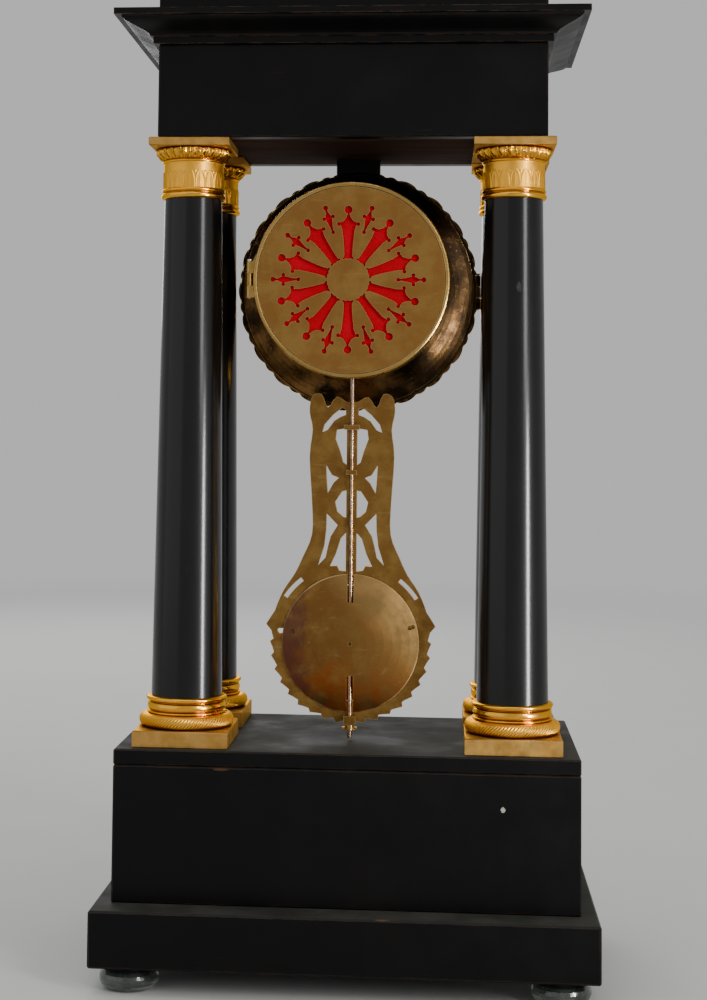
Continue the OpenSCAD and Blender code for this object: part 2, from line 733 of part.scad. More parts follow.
module leaf_bezel() {
    lens_r = drum_r - drum_wall + 1.1;
    crest_w = 6.6;
    leaf_w = 6;
    crest = lens_r + crest_w;
    edge = leaf_tip_r - leaf_w;
    b = bezel_y;
    depth = b - glass_y;
    color(gilt) difference() {
        union() {
            turned([[lens_r, b], [edge - 1, b], [edge, b - 2], [edge - 1.2, b - 4],
                    [crest + 2, b - depth - 3.2], [crest - 1, b - depth - 3.8],
                    [lens_r + 2.6, b - depth - 3], [lens_r, b - depth - 1.6],
                    [lens_r - 2, b - depth - 2.2], [lens_r - 2, b - depth - 1.3],
                    [lens_r, b - depth - 1.3]]);
            flat(b - 2, 2) translate([0, head_z]) difference() {
                polygon([for (i = [0:leaf_count - 1]) for (t = [-1:0.25:0.75]) leaf_point(i, t)]);
                circle(r = edge - 3);
            }
            for (s = [-1, 1]) translate([0, 0, s * (knuckle_h + 0.3)]) {
                hinge_tube(bezel_hinge, -knuckle_h / 2, knuckle_h);
                translate([bezel_hinge[0], bezel_hinge[1] - 1, head_z - knuckle_h / 2])
                    cube([edge * 0.06 + 3, 2, knuckle_h]);
            }
        }
        translate([bezel_hinge[0] - 6, bezel_hinge[1] - 4, head_z - knuckle_h / 2 - 0.3])
            cube([6 + knuckle_r + 0.3, 14, knuckle_h + 0.6]);
        for (s = [-1, 1]) translate([0, 0, s * (knuckle_h + 0.3)])
            translate([bezel_hinge[0] - 6, bezel_hinge[1] + knuckle_r, head_z - knuckle_h / 2 - 0.1])
                cube([6 + knuckle_r, 14, knuckle_h + 0.2]);
        hinge_bore(bezel_hinge);
    }
}

module bezel_glass() {
    lens_r = drum_r - drum_wall + 1.1;
    color([0.8, 0.85, 0.85, 0.35])
    turned([[0, glass_y + 0.1], [lens_r - 0.2, glass_y + 0.1], [lens_r - 0.2, glass_y - glass_t],
            [0, glass_y - glass_t]]);
}

module dial() {
    dial_r = drum_r - drum_wall - 0.1;
    color("white") difference() {
        union() {
            turned([[0, dial_y], [dial_r - 0.6, dial_y], [dial_r, dial_y + 0.5],
                    [dial_r, dial_y + dial_t], [0, dial_y + dial_t]]);
            for (a = dial_feet)
                bar(polar(dial_feet_r, a), 1.2, dial_y + dial_t - hair, plate_front + plate_t - hair);
        }
        bar([0, 0], cannon_r + 1.5, dial_y - cut, dial_y + dial_t + cut);
        for (at = [barrel_at, strike_at]) bar(at, 3.2, dial_y - cut, dial_y + dial_t + cut);
    }
}

// A hand along +z with a ring near its tip, bored to fit its pipe
module hand(reach, hub, bore, width, eye, y) {
    eye_z = reach * 0.74;
    flat(y, hand_t) translate([0, head_z]) {
        difference() {
            circle(r = hub);
            circle(r = bore);
        }
        translate([0, eye_z]) difference() {
            circle(r = eye);
            circle(r = eye - 0.8);
        }
        polygon([[-width / 2, hub - 0.5], [width / 2, hub - 0.5],
                 [width * 0.36, eye_z - eye + 0.4], [-width * 0.36, eye_z - eye + 0.4]]);
        polygon([[-width * 0.5, eye_z + eye - 0.4], [width * 0.5, eye_z + eye - 0.4], [0, reach]]);
        polygon([[-width * 0.7, -reach * 0.22], [width * 0.7, -reach * 0.22],
                 [width * 0.4, 0.4 - hub], [-width * 0.4, 0.4 - hub]]);
    }
}

module hour_hand() {
    color([0.05, 0.06, 0.12]) hand(hour_len, 3.8, cannon_r + 1 + run_gap, 1.6, 2.6, hour_hand_y);
}

module minute_hand() {
    color([0.05, 0.06, 0.12]) hand(minute_len, 2.8, cannon_r + run_gap, 1.4, 2.2, minute_hand_y);
}

// Movement: plates, pillars, barrels and wheels

// Holes for every arbor that both plates carry
module plate_holes(y) {
    for (at = [inter_at, third_at, escape_at, anchor_at, hammer_at])
        bar(at, pivot_r + run_gap, y - cut, y + plate_t + cut);
    for (at = [barrel_at, strike_at])
        bar(at, winder_r - 0.4 + run_gap, y - cut, y + plate_t + cut);
}

module front_plate() {
    lug_w = 10;
    lug_reach = drum_gap + 2.5;
    bore_r = drum_r - drum_wall - 0.02;
    color(brass) difference() {
        union() {
            flat(plate_front, plate_t) translate([0, head_z]) union() {
                circle(r = plate_r);
                for (a = [60, 120, 240, 300]) rotate(a)
                    translate([plate_r - 3, -lug_w / 2]) square([lug_reach, lug_w]);
            }
            bar(minute_at, 1, hour_y - 1.6, plate_front + hair);
        }
        turned([[bore_r, plate_front - cut], [plate_r + lug_w, plate_front - cut],
                [plate_r + lug_w, front_y + cut], [bore_r, front_y + cut]]);
        plate_holes(plate_front);
        bar([0, 0], centre_r + run_gap, plate_front - cut, front_y + cut);
        for (a = dial_feet)
            bar(polar(dial_feet_r, a), 1.2 + run_gap, plate_front - cut, front_y + cut);
    }
}

module back_plate() {
    color(brass) difference() {
        flat(back_y, plate_t) translate([0, head_z]) circle(r = plate_r);
        plate_holes(back_y);
        bar([0, 0], pivot_r + run_gap, back_y - cut, plate_back + cut);
        bar(anchor_at, arbor_r + 0.3, back_y - cut, plate_back + cut);
        bar(hammer_at, arbor_r + run_gap, back_y - cut, plate_back + cut);
    }
}

module plate_pillars() {
    pillar_at = plate_r - 5;
    color(brass) for (a = pillar_angles)
        turned([[0, front_y], [pillar_r + 0.6, front_y], [pillar_r + 0.6, front_y + 1.5],
                [pillar_r, front_y + 2.5], [pillar_r, back_y - 2.5],
                [pillar_r + 0.6, back_y - 1.5], [pillar_r + 0.6, back_y], [0, back_y]],
               polar(pillar_at, a));
}

module barrel(at, turn) {
    color(brass) difference() {
        union() {
            gear(at, barrel_teeth, barrel_m, turn, barrel_y0, barrel_face);
            bar(at, barrel_r - 1.3, barrel_y0, barrel_y1);
            bar(at, barrel_r - 0.9, barrel_y1 - 1.2, barrel_y1);
        }
        bar(at, winder_r + run_gap, barrel_y0 - cut, barrel_y1 + cut);
    }
}

module going_barrel() {
    barrel(barrel_at, 0);
}

module strike_barrel() {
    barrel(strike_at, 0);
}

// Barrel arbor with a winding square behind its hole in the dial
module winding_arbor(at) {
    color(steel) {
        bar(at, winder_r, front_y + pivot_gap, back_y - pivot_gap);
        bar(at, winder_r - 0.4, plate_front - 1, plate_back + 0.8);
        translate([at[0] - square_w / 2, dial_y - 0.3, head_z + at[1] - square_w / 2])
            cube([square_w, plate_front - dial_y, square_w]);
    }
}

module going_arbor() {
    winding_arbor(barrel_at);
}

module strike_arbor() {
    winding_arbor(strike_at);
}

inter_turn = mesh_turn(barrel_at, inter_at, barrel_teeth, 0, inter_leaves);
centre_turn = mesh_turn(inter_at, [0, 0], inter_teeth, 0, centre_leaves);
third_turn = mesh_turn([0, 0], third_at, centre_teeth, 0, third_leaves);
escape_turn = mesh_turn(third_at, escape_at, third_teeth, 0, escape_leaves);
minute_turn = mesh_turn([0, 0], minute_at, cannon_teeth, 0, minute_teeth);
hour_turn = mesh_turn(minute_at, [0, 0], minute_leaves, 0, hour_teeth);

module centre_arbor() {
    color(brass) {
        difference() {
            gear([0, 0], centre_teeth, centre_m, 0, centre_wheel_y, wheel_t);
            crossing([0, 0], 3, centre_m * centre_teeth / 2 - 2, 5, 1.4, centre_wheel_y, wheel_t);
        }
        gear([0, 0], centre_leaves, inter_m, centre_turn, inter_wheel_y - 0.5, wheel_t + 1, 0.3);
        gear([0, 0], cannon_teeth, motion_m, 0, motion_y, wheel_t, 0.3);
        bar([0, 0], centre_r, motion_y, back_y - pivot_gap);
        bar([0, 0], cannon_r, minute_hand_y - 0.4, motion_y + hair);
        bar([0, 0], pivot_r, back_y - 1, plate_back - hair);
    }
}

module intermediate_wheel() {
    color(brass) {
        difference() {
            gear(inter_at, inter_teeth, inter_m, 0, inter_wheel_y, wheel_t);
            crossing(inter_at, 2.6, inter_m * inter_teeth / 2 - 2, 5, 1.3, inter_wheel_y, wheel_t);
        }
        gear(inter_at, inter_leaves, barrel_m, inter_turn, barrel_y0 - 0.4, barrel_face + 0.8, 0.3);
        arbor(inter_at);
    }
}

module third_wheel() {
    color(brass) {
        difference() {
            gear(third_at, third_teeth, third_m, 0, third_wheel_y, wheel_t);
            crossing(third_at, 2.4, third_m * third_teeth / 2 - 1.8, 5, 1.2, third_wheel_y, wheel_t);
        }
        gear(third_at, third_leaves, centre_m, third_turn, centre_wheel_y - 0.4, wheel_t + 0.8, 0.3);
        arbor(third_at);
    }
}

module escape_wheel() {
    color(brass) {
        difference() {
            flat(escape_wheel_y, wheel_t) translate([0, head_z + escape_at[1]])
                polygon([for (i = [0:escape_teeth - 1]) for (k = [0:2])
                    polar([escape_r - 1.5, escape_r, escape_r - 1.5][k],
                          (i + [0, 0.42, 0.55][k]) * 360 / escape_teeth)]);
            crossing(escape_at, 2, escape_r - 2.8, 4, 1.1, escape_wheel_y, wheel_t);
        }
        gear(escape_at, escape_leaves, third_m, escape_turn, third_wheel_y - 0.4, wheel_t + 0.8, 0.3);
        arbor(escape_at);
    }
}

// Anchor over the escape wheel, with the crutch that reaches the pendulum rod
module pallet_anchor() {
    k = escape_r / 9.8;
    crutch_len = 35;
    crutch_y = plate_back + 1.1;
    prong = rod_r + run_gap;
    color(steel) {
        flat(escape_wheel_y, wheel_t) translate([0, swing_z])
            polygon(mirrored([for (p = [[0, 2.4], [6.5, -0.6], [10.6, -5.4], [8.7, -8.4],
                                        [8.1, -7.9], [8.3, -5.4], [4.6, -2.4], [0, -1.6]]) p * k]));
        bar(anchor_at, arbor_r, front_y + pivot_gap, crutch_y + 1.6);
        bar(anchor_at, pivot_r, plate_front + hair, front_y + 1);
        translate([-1, crutch_y, swing_z - crutch_len]) cube([2, 1.2, crutch_len]);
        for (s = [-1, 1])
            translate([s * (prong + 0.5) - 0.5, crutch_y, swing_z - crutch_len - 1.5])
                cube([1, pend_y + rod_r + 0.5 - crutch_y, 2]);
        translate([-prong - 1, crutch_y, swing_z - crutch_len - 1.5])
            cube([2 * prong + 2, 1.2, 2]);
    }
}

module minute_wheel() {
    color(brass) difference() {
        union() {
            gear(minute_at, minute_teeth, motion_m, minute_turn, motion_y, wheel_t);
            gear(minute_at, minute_leaves, hour_m, 0, hour_y, 2.4 + hair, 0.3);
        }
        bar(minute_at, 1 + run_gap, hour_y - cut, plate_front);
    }
}

module hour_wheel() {
    color(brass) difference() {
        union() {
            gear([0, 0], hour_teeth, hour_m, hour_turn, hour_y, wheel_t);
            bar([0, 0], cannon_r + 1, hour_hand_y - 0.3, hour_y + wheel_t);
        }
        bar([0, 0], cannon_r + run_gap, hour_hand_y - cut, hour_y + wheel_t + cut);
    }
}

// Bell, hammer and pendulum suspension behind the back plate

bell_sphere = (bell_r * bell_r + bell_h * bell_h) / (2 * bell_h);
bell_centre_y = rear_y - bell_sphere;

module bell() {
    outer = [for (i = [0:8]) let (a = i / 8 * asin(bell_r / bell_sphere))
        [bell_sphere * sin(a), bell_centre_y + bell_sphere * cos(a)]];
    inner = [for (i = [8:-1:0]) let (a = i / 8 * asin((bell_r - 1.4) / (bell_sphere - bell_t)))
        [(bell_sphere - bell_t) * sin(a), bell_centre_y + (bell_sphere - bell_t) * cos(a)]];
    color([0.8, 0.75, 0.6]) difference() {
        turned(concat(outer, inner));
        bar([0, 0], 1 + run_gap, bell_y, rear_y + cut);
    }
}

module bell_stand() {
    post = [9, 0];
    post_r = 1.6;
    arm_t = 1.6;
    post_edge = post[0] + post_r;
    bell_dip = 1.2 * post_edge * post_edge / (2 * bell_sphere);
    arm_y = rear_y - bell_t - bell_dip - arm_t - part_gap;
    color(brass) {
        bar(post, post_r, plate_back, arm_y + arm_t);
        translate([0, arm_y, head_z - 1.5]) cube([post[0], arm_t, 3]);
        bar([0, 0], 2.2, arm_y, rear_y - bell_t - 0.1);
        bar([0, 0], 1, arm_y, rear_y + 1.8);
        bar([0, 0], 2.2, rear_y + 0.05, rear_y + 1.5);
    }
}

module bell_hammer() {
    head_r = 2.6;
    head_len = 6;
    head_at = [hammer_at[0] + 1.2, hammer_at[1] - hammer_reach];
    head_a = angle_of(head_at);
    head_y = bell_y + 1.5;
    arm_y = plate_back + 0.6;
    color(steel) {
        bar(hammer_at, arbor_r, front_y + pivot_gap, arm_y + 1.4);
        bar(hammer_at, pivot_r, plate_front + hair, front_y + 1);
        flat(arm_y, 1.4) translate([hammer_at[0], head_z + hammer_at[1]])
            polygon([[-0.9, 0], [0.9, 0], [1.8, -hammer_reach], [0.2, -hammer_reach]]);
        bar(head_at - [0.2, 0], 1, arm_y, head_y);
        translate([0, head_y, head_z]) rotate([0, -head_a, 0]) translate([bell_r + 1, 0, 0])
            rotate([0, 90, 0]) cylinder(h = head_len, r = head_r);
    }
}

module suspension_cock() {
    arm_z = swing_z + 6;
    color(brass) difference() {
        union() {
            translate([-9, plate_back, arm_z - 1]) cube([18, 2, 4.6]);
            translate([-4, plate_back, arm_z]) cube([8, pend_y + 3 - plate_back, 3.4]);
            translate([-4, pend_y - 2, swing_z - 1.5]) cube([8, 5, 8]);
        }
        translate([-0.5, pend_y - 2 - cut, swing_z - 1.5 - cut]) cube([1, 5 + 2 * cut, 5.5 + cut]);
        translate([-2.2, pend_y - 2 - cut, swing_z + 2.2]) cube([4.4, 5 + 2 * cut, 3]);
    }
}

module suspension_spring() {
    color(steel) {
        translate([-0.1, pend_y - 1.5, swing_z - 6]) cube([0.2, 3, 9]);
        translate([-1.6, pend_y - 1.8, swing_z + 2.5]) cube([3.2, 3.6, 1.8]);
    }
}

module pendulum_rod() {
    top = swing_z - 5;
    color(steel) {
        difference() {
            translate([-1.6, pend_y - 2.4, top - 3]) cube([3.2, 4.8, 4]);
            translate([-0.1 - hair, pend_y - 1.5 - hair, top - 1 - hair])
                cube([0.2 + 2 * hair, 3 + 2 * hair, 3]);
        }
        translate([0, pend_y, rod_end_z]) cylinder(h = top - 2 - rod_end_z, r = rod_r);
    }
}

// Outer edge of the frame on its +x side, from the scroll heads down round the ring.
// The neck's points are shares of its height; the ring's follow the leaf tips.
function neck_point(x, t) = [x * neck_half, neck_z + t * neck_h];
function ring_edge(a) =
    let (k = (a + 90) / 92 * tip_count, f = k - floor(k))
    bob_point(ring_r - 1.6 + 2.4 * pow(f, 1.6) + (a > -60 ? 0.6 : 0), a);
function bob_point(r, a) = [0, bob_z] + polar(r, a);

neck_edge = smooth(concat(
    [neck_point(-0.12, 0.955), neck_point(0.12, 0.955), neck_point(0.40, 0.985), neck_point(0.62, 0.925),
     neck_point(0.78, 1), neck_point(1.02, 0.985), neck_point(1.08, 0.9),
     neck_point(1.0, 0.8), neck_point(1.07, 0.65), neck_point(1, 0.4),
     neck_point(0.99, 0.22), neck_point(1.22, 0.09)],
    [bob_point(ring_r + 4.6, 50), bob_point(ring_r + 2.8, 37), bob_point(ring_r + 1.4, 22),
     bob_point(ring_r + 0.6, 8), bob_point(1, -60)]), 3);
neck_keep = [for (i = [3:15 * 3]) neck_edge[i]];
ring_edges = [for (a = [2:-2:-84]) ring_edge(a)];

module frame_outline() {
    polygon(mirrored(concat(neck_keep, ring_edges,
        [[3.2, bob_z - ring_r + 1], [3, nut_z + 0.4]])));
}

// Openings of the frame on its +x side, from the scroll arms down to the ring's slot
module frame_openings() {
    spine = 0.132;
    arm_gap = [[0.755, 0.787], [0.70, 0.83], [0.48, 0.885], [0.26, 0.925], [0.16, 0.915],
               [0.16, 0.885], [0.30, 0.873], [0.46, 0.85], [0.62, 0.80]];
    shield = [[spine, 0.81], [0.385, 0.80], [0.415, 0.75], [0.29, 0.675], [0.22, 0.62],
              [spine, 0.606]];
    side_window = [[0.65, 0.604], [0.50, 0.548], [0.33, 0.533], [0.46, 0.505], [0.605, 0.447],
                   [0.635, 0.53]];
    vase = [[spine, 0.463], [0.24, 0.457], [0.415, 0.398], [0.36, 0.345], [0.22, 0.318],
            [spine, 0.313]];
    leg_slit = [[0.625, 0.334], [0.635, 0.24], [0.68, 0.153], [0.83, 0.047], [0.645, 0.09],
                [0.585, 0.153], [0.52, 0.207], [0.345, 0.27]];
    foot_window = [[spine, 0.228], [0.265, 0.196], [0.385, 0.11], [0.53, 0.042], [0.36, 0.045],
                   [0.30, 0.02], [spine, 0.015]];
    for (outline = [arm_gap, shield, side_window, vase, leg_slit, foot_window])
        polygon([for (p = outline) neck_point(p[0], p[1])]);
    intersection() {
        difference() {
            translate([0, bob_z]) circle(r = ring_r + 1);
            translate([0, bob_z]) circle(r = ring_r - 1.2);
        }
        polygon([[0, bob_z], bob_point(2 * ring_r, 34), bob_point(2 * ring_r, 52)]);
    }
}

// A strap across the rod, with room for the rod to slide
module rod_strap(w, z) {
    y0 = frame_y + frame_t - hair;
    reach = pend_y + rod_r + 1.3 - y0;
    difference() {
        translate([-w / 2, y0, z - 1.2]) cube([w, reach, 2.4]);
        translate([0, pend_y, z - 2]) cylinder(h = 4, r = rod_r + 0.15);
        translate([-rod_r - 0.15, y0 - cut, z - 2])
            cube([2 * rod_r + 0.3, pend_y - y0 + cut, 4]);
    }
}

module pendulum_frame() {
    lug_z = nut_z + 0.5;
    pin_slot = 2.5;
    pin_slot_end = [bob_r + 1.2, bob_r * 0.157];
    color(brass) {
        difference() {
            flat(frame_y, frame_t) frame_outline();
            flat(frame_y - cut, frame_t + 2 * cut) {
                translate([0, bob_z]) circle(r = ring_hole_r + 0.2);
                translate([0, bob_z] + pin_slot_end) circle(r = pin_slot / 2, $fn = 16);
                translate([0, bob_z + pin_slot_end[1] - pin_slot / 2])
                    square([pin_slot_end[0], pin_slot]);
                frame_openings();
                mirror([1, 0]) frame_openings();
            }
        }
        rod_strap(8, neck_z + 0.815 * neck_h);
        rod_strap(5.4, neck_z + 0.565 * neck_h);
        difference() {
            translate([-3, frame_y + frame_t - hair, lug_z])
                cube([6, pend_y + 3 - frame_y - frame_t, 4.6]);
            translate([0, pend_y, lug_z - cut]) cylinder(h = 5 + 2 * cut, r = rod_r + 0.15);
        }
    }
}

module pendulum_bob() {
    rear = frame_y + frame_t + hair;
    crown = 4.6;
    front_t = 7.5;
    r = bob_r;
    stud = [r * 0.865, r * 0.15];
    hole = [-r * 0.92, r * 0.25];
    color(brass) difference() {
        translate([0, 0, bob_z - head_z]) union() {
            turned(concat([[0, rear]], [for (i = [8:-1:0]) let (q = i / 8)
                [r * q, rear + 0.9 + crown * (1 - q * q)]], [[0, rear + 0.9 + crown]]));
            turned([[0, rear + hair], [ring_hole_r - 0.3, rear + hair],
                    [ring_hole_r - 0.3, frame_y - 1], [ring_hole_r - 2.4, frame_y - front_t * 0.6],
                    [0, frame_y - front_t * 0.75]]);
            bar(stud, 1.1, rear + 1, rear + 3.4);
        }
        translate([-slot_half, pend_y - rod_r - 0.5, bob_z - r - cut])
            cube([2 * slot_half, 2 * rod_r + 0.9, 2 * r + 2 * cut]);
        translate([-slot_half, pend_y, bob_z + r * 0.59]) cube([2 * slot_half, 10, r]);
        translate([-slot_half - 0.3, pend_y, bob_z - r * 0.965])
            cube([2 * slot_half + 0.6, 10, r * 0.5]);
        translate([0, 0, bob_z - head_z]) {
            bar([0, 0], 1, rear + crown - 1, rear + crown + 2);
            bar(hole * 0.985, 1.2, rear - cut, rear + crown);
            bar(hole * 0.94, 1.2, rear - cut, rear + crown);
        }
    }
}

// Rating nut with two thumb wings, under the frame's lug
module rating_nut() {
    h = 2.2;
    color(brass) difference() {
        union() {
            translate([0, pend_y, nut_z - h]) cylinder(h = h + 0.2, r = 2.4);
            translate([-3.8, pend_y - 0.9, nut_z - h]) cube([7.6, 1.8, 1.4]);
        }
        translate([0, pend_y, nut_z - h - cut]) cylinder(h = h + 3 * cut, r = rod_r + run_gap);
    }
}

bun_feet();
bottom_plinth();
base_long_boards();
base_side_boards();
base_deck();
column_base(-1, -1);  // column_base_front_left
column_base(1, -1);  // column_base_front_right
column_base(-1, 1);  // column_base_rear_left
column_base(1, 1);  // column_base_rear_right
column_shaft(-1, -1);  // column_shaft_front_left
column_shaft(1, -1);  // column_shaft_front_right
column_shaft(-1, 1);  // column_shaft_rear_left
column_shaft(1, 1);  // column_shaft_rear_right
column_capital(-1, -1);  // column_capital_front_left
column_capital(1, -1);  // column_capital_front_right
column_capital(-1, 1);  // column_capital_rear_left
column_capital(1, 1);  // column_capital_rear_right
tie_rods();
tie_rod_nuts();
soffit_board();
frieze_long_boards();
frieze_side_boards();
cornice_moulding();
attic_block();
head_bracket();
drum_case();
rear_ring();
rear_door_ring();
rear_door_fret();
rear_door_silk();
hinge_pins();
dial_back_plate();
leaf_bezel();
bezel_glass();
dial();
hour_hand();
minute_hand();
front_plate();
back_plate();
plate_pillars();
going_barrel();
strike_barrel();
going_arbor();
strike_arbor();
centre_arbor();
intermediate_wheel();
third_wheel();
escape_wheel();
pallet_anchor();
minute_wheel();
hour_wheel();
bell();
bell_stand();
bell_hammer();
suspension_cock();
suspension_spring();
pendulum_rod();
pendulum_frame();
pendulum_bob();
rating_nut();
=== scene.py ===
import math
import random

import bpy
from mathutils import Matrix, Vector
from mathutils.bvhtree import BVHTree


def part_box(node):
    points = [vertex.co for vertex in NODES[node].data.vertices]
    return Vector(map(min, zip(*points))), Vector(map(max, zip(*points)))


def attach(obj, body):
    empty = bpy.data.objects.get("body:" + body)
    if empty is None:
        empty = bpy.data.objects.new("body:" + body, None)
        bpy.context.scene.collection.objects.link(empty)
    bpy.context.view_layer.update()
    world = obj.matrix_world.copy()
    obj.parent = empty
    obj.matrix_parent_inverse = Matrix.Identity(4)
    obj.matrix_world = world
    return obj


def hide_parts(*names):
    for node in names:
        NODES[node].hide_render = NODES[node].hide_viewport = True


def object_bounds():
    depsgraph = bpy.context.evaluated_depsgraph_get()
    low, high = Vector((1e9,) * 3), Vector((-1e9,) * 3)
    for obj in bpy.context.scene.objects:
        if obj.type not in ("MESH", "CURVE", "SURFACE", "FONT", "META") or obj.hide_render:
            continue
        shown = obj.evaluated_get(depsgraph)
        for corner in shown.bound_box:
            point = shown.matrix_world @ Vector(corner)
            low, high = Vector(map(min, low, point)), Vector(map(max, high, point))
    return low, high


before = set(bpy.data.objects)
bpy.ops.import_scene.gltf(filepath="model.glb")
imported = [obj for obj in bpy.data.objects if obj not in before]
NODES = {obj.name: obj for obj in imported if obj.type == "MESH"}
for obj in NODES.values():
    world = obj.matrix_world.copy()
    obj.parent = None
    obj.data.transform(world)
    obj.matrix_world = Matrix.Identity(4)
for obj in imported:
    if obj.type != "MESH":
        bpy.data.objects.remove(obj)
cad_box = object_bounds()
MM = 0.001
CORNERS = ("front_left", "front_right", "rear_left", "rear_right")

# Colours, as linear reflectances
EBONY = (0.0026, 0.0025, 0.0026)
EBONY_WARM = (0.0065, 0.0045, 0.004)
EBONY_WORN = (0.15, 0.065, 0.030)
SCRATCH_GREY = (0.05, 0.042, 0.038)
DUST = (0.052, 0.052, 0.043)
SOFFIT_BROWN = (0.028, 0.012, 0.006)
SOFFIT_LIGHT = (0.055, 0.024, 0.010)
SOFFIT_PORES = (0.010, 0.005, 0.003)
GILT = (0.84, 0.41, 0.038)
GILT_PALE = (0.84, 0.46, 0.062)
GILT_TAN = (0.44, 0.235, 0.055)
GILT_TAN_PALE = (0.60, 0.36, 0.11)
# GILT_SHADE is painted shade, partly patina, in hollows and milled grooves, and also the colour of
# small brown spots
GILT_SHADE = (0.28, 0.10, 0.012)
CAST_BROWN = (0.17, 0.10, 0.035)
METAL_EDGE = (1.0, 0.72, 0.34)
# BRASS_BRIGHT is rubbed brass, and on edges also a painted highlight
BRASS_BRIGHT = (0.74, 0.54, 0.24)
BRASS_OLIVE = (0.36, 0.215, 0.06)
BRASS_BROWN = (0.15, 0.07, 0.02)
BROWN_PATINA = (0.03, 0.014, 0.006)
MOVEMENT_BRASS = (0.66, 0.48, 0.19)
MOVEMENT_BRASS_DARK = (0.50, 0.31, 0.10)
DOOR_BRASS = (0.38, 0.215, 0.06)
DOOR_BRASS_DARK = (0.27, 0.13, 0.035)
RIM_BRASS = (0.46, 0.29, 0.095)
FRAME_BRASS = (0.30, 0.17, 0.046)
FRAME_BRASS_DARK = (0.17, 0.085, 0.022)
BOB_BRASS = (0.25, 0.14, 0.04)
BOB_BRASS_DARK = (0.17, 0.08, 0.022)
BOB_OLIVE = (0.34, 0.21, 0.078)
COPPER = (0.25, 0.062, 0.011)
PLUM = (0.10, 0.038, 0.028)
DISH_BRASS = (0.05, 0.027, 0.010)
DISH_BRASS_DARK = (0.012, 0.007, 0.004)
# The next colour is a painted reflection, in brass tones, on the dished plate
DISH_PAINTED_REFLECTION = (0.27, 0.135, 0.042)
BELL_METAL = (0.50, 0.40, 0.24)
BELL_METAL_DARK = (0.36, 0.26, 0.13)
STEEL = (0.55, 0.54, 0.52)
STEEL_STAIN = (0.25, 0.22, 0.19)
BLUED = (0.02, 0.03, 0.11)
BLUED_DARK = (0.012, 0.014, 0.05)
ROD = (0.46, 0.33, 0.21)
ROD_STAIN = (0.22, 0.13, 0.08)
SILK_RED = (0.60, 0.001, 0.016)
SILK_DEEP = (0.50, 0.001, 0.011)
SILK_THREAD = (0.72, 0.004, 0.014)
SILK_SHEEN = (1.0, 0.04, 0.08)
ENAMEL = (0.80, 0.78, 0.71)
ENAMEL_AGED = (0.74, 0.71, 0.62)
ENAMEL_CRAZE = (0.3, 0.25, 0.2)
INK = (0.012, 0.011, 0.013)
INK_WORN = (0.03, 0.028, 0.03)
GLASS_TINT = (0.34, 0.37, 0.36)
GLASS_TINT_DARK = (0.26, 0.30, 0.29)
FOOT_GREEN = (0.16, 0.19, 0.17)
FOOT_GREEN_PALE = (0.30, 0.34, 0.31)
FOOT_GRIME = (0.09, 0.085, 0.075)
FLOOR_GREY = (0.60, 0.60, 0.59)
FLOOR_GREY_PALE = (0.63, 0.63, 0.62)

# Knocks in the black finish: place and radius in mm, stretch along x, y and z, and colour
CASE_CHIPS = (
    ((-78.1, 62, 91.8), 1.3, (1, 1, 1.1), (0.55, 0.52, 0.46)),
    ((62.0, 62, 108.0), 1.2, (3.5, 1, 0.6), (0.08, 0.035, 0.015)),
    ((-20.0, 79, 41.0), 1.4, (4.0, 1, 0.5), (0.10, 0.045, 0.02)),
)
SHAFT_CHIPS = (
    ((-85.6, 50.2, 351.1), 2.0, (0.8, 1, 1.5), (0.05, 0.04, 0.035)),
    ((-85.6, 50.2, 350.3), 1.0, (0.7, 1, 1.3), (0.002, 0.002, 0.002)),
    ((-86.8, 50.2, 339.0), 0.6, (0.7, 1, 8.0), (0.03, 0.027, 0.026)),
)


# Node materials

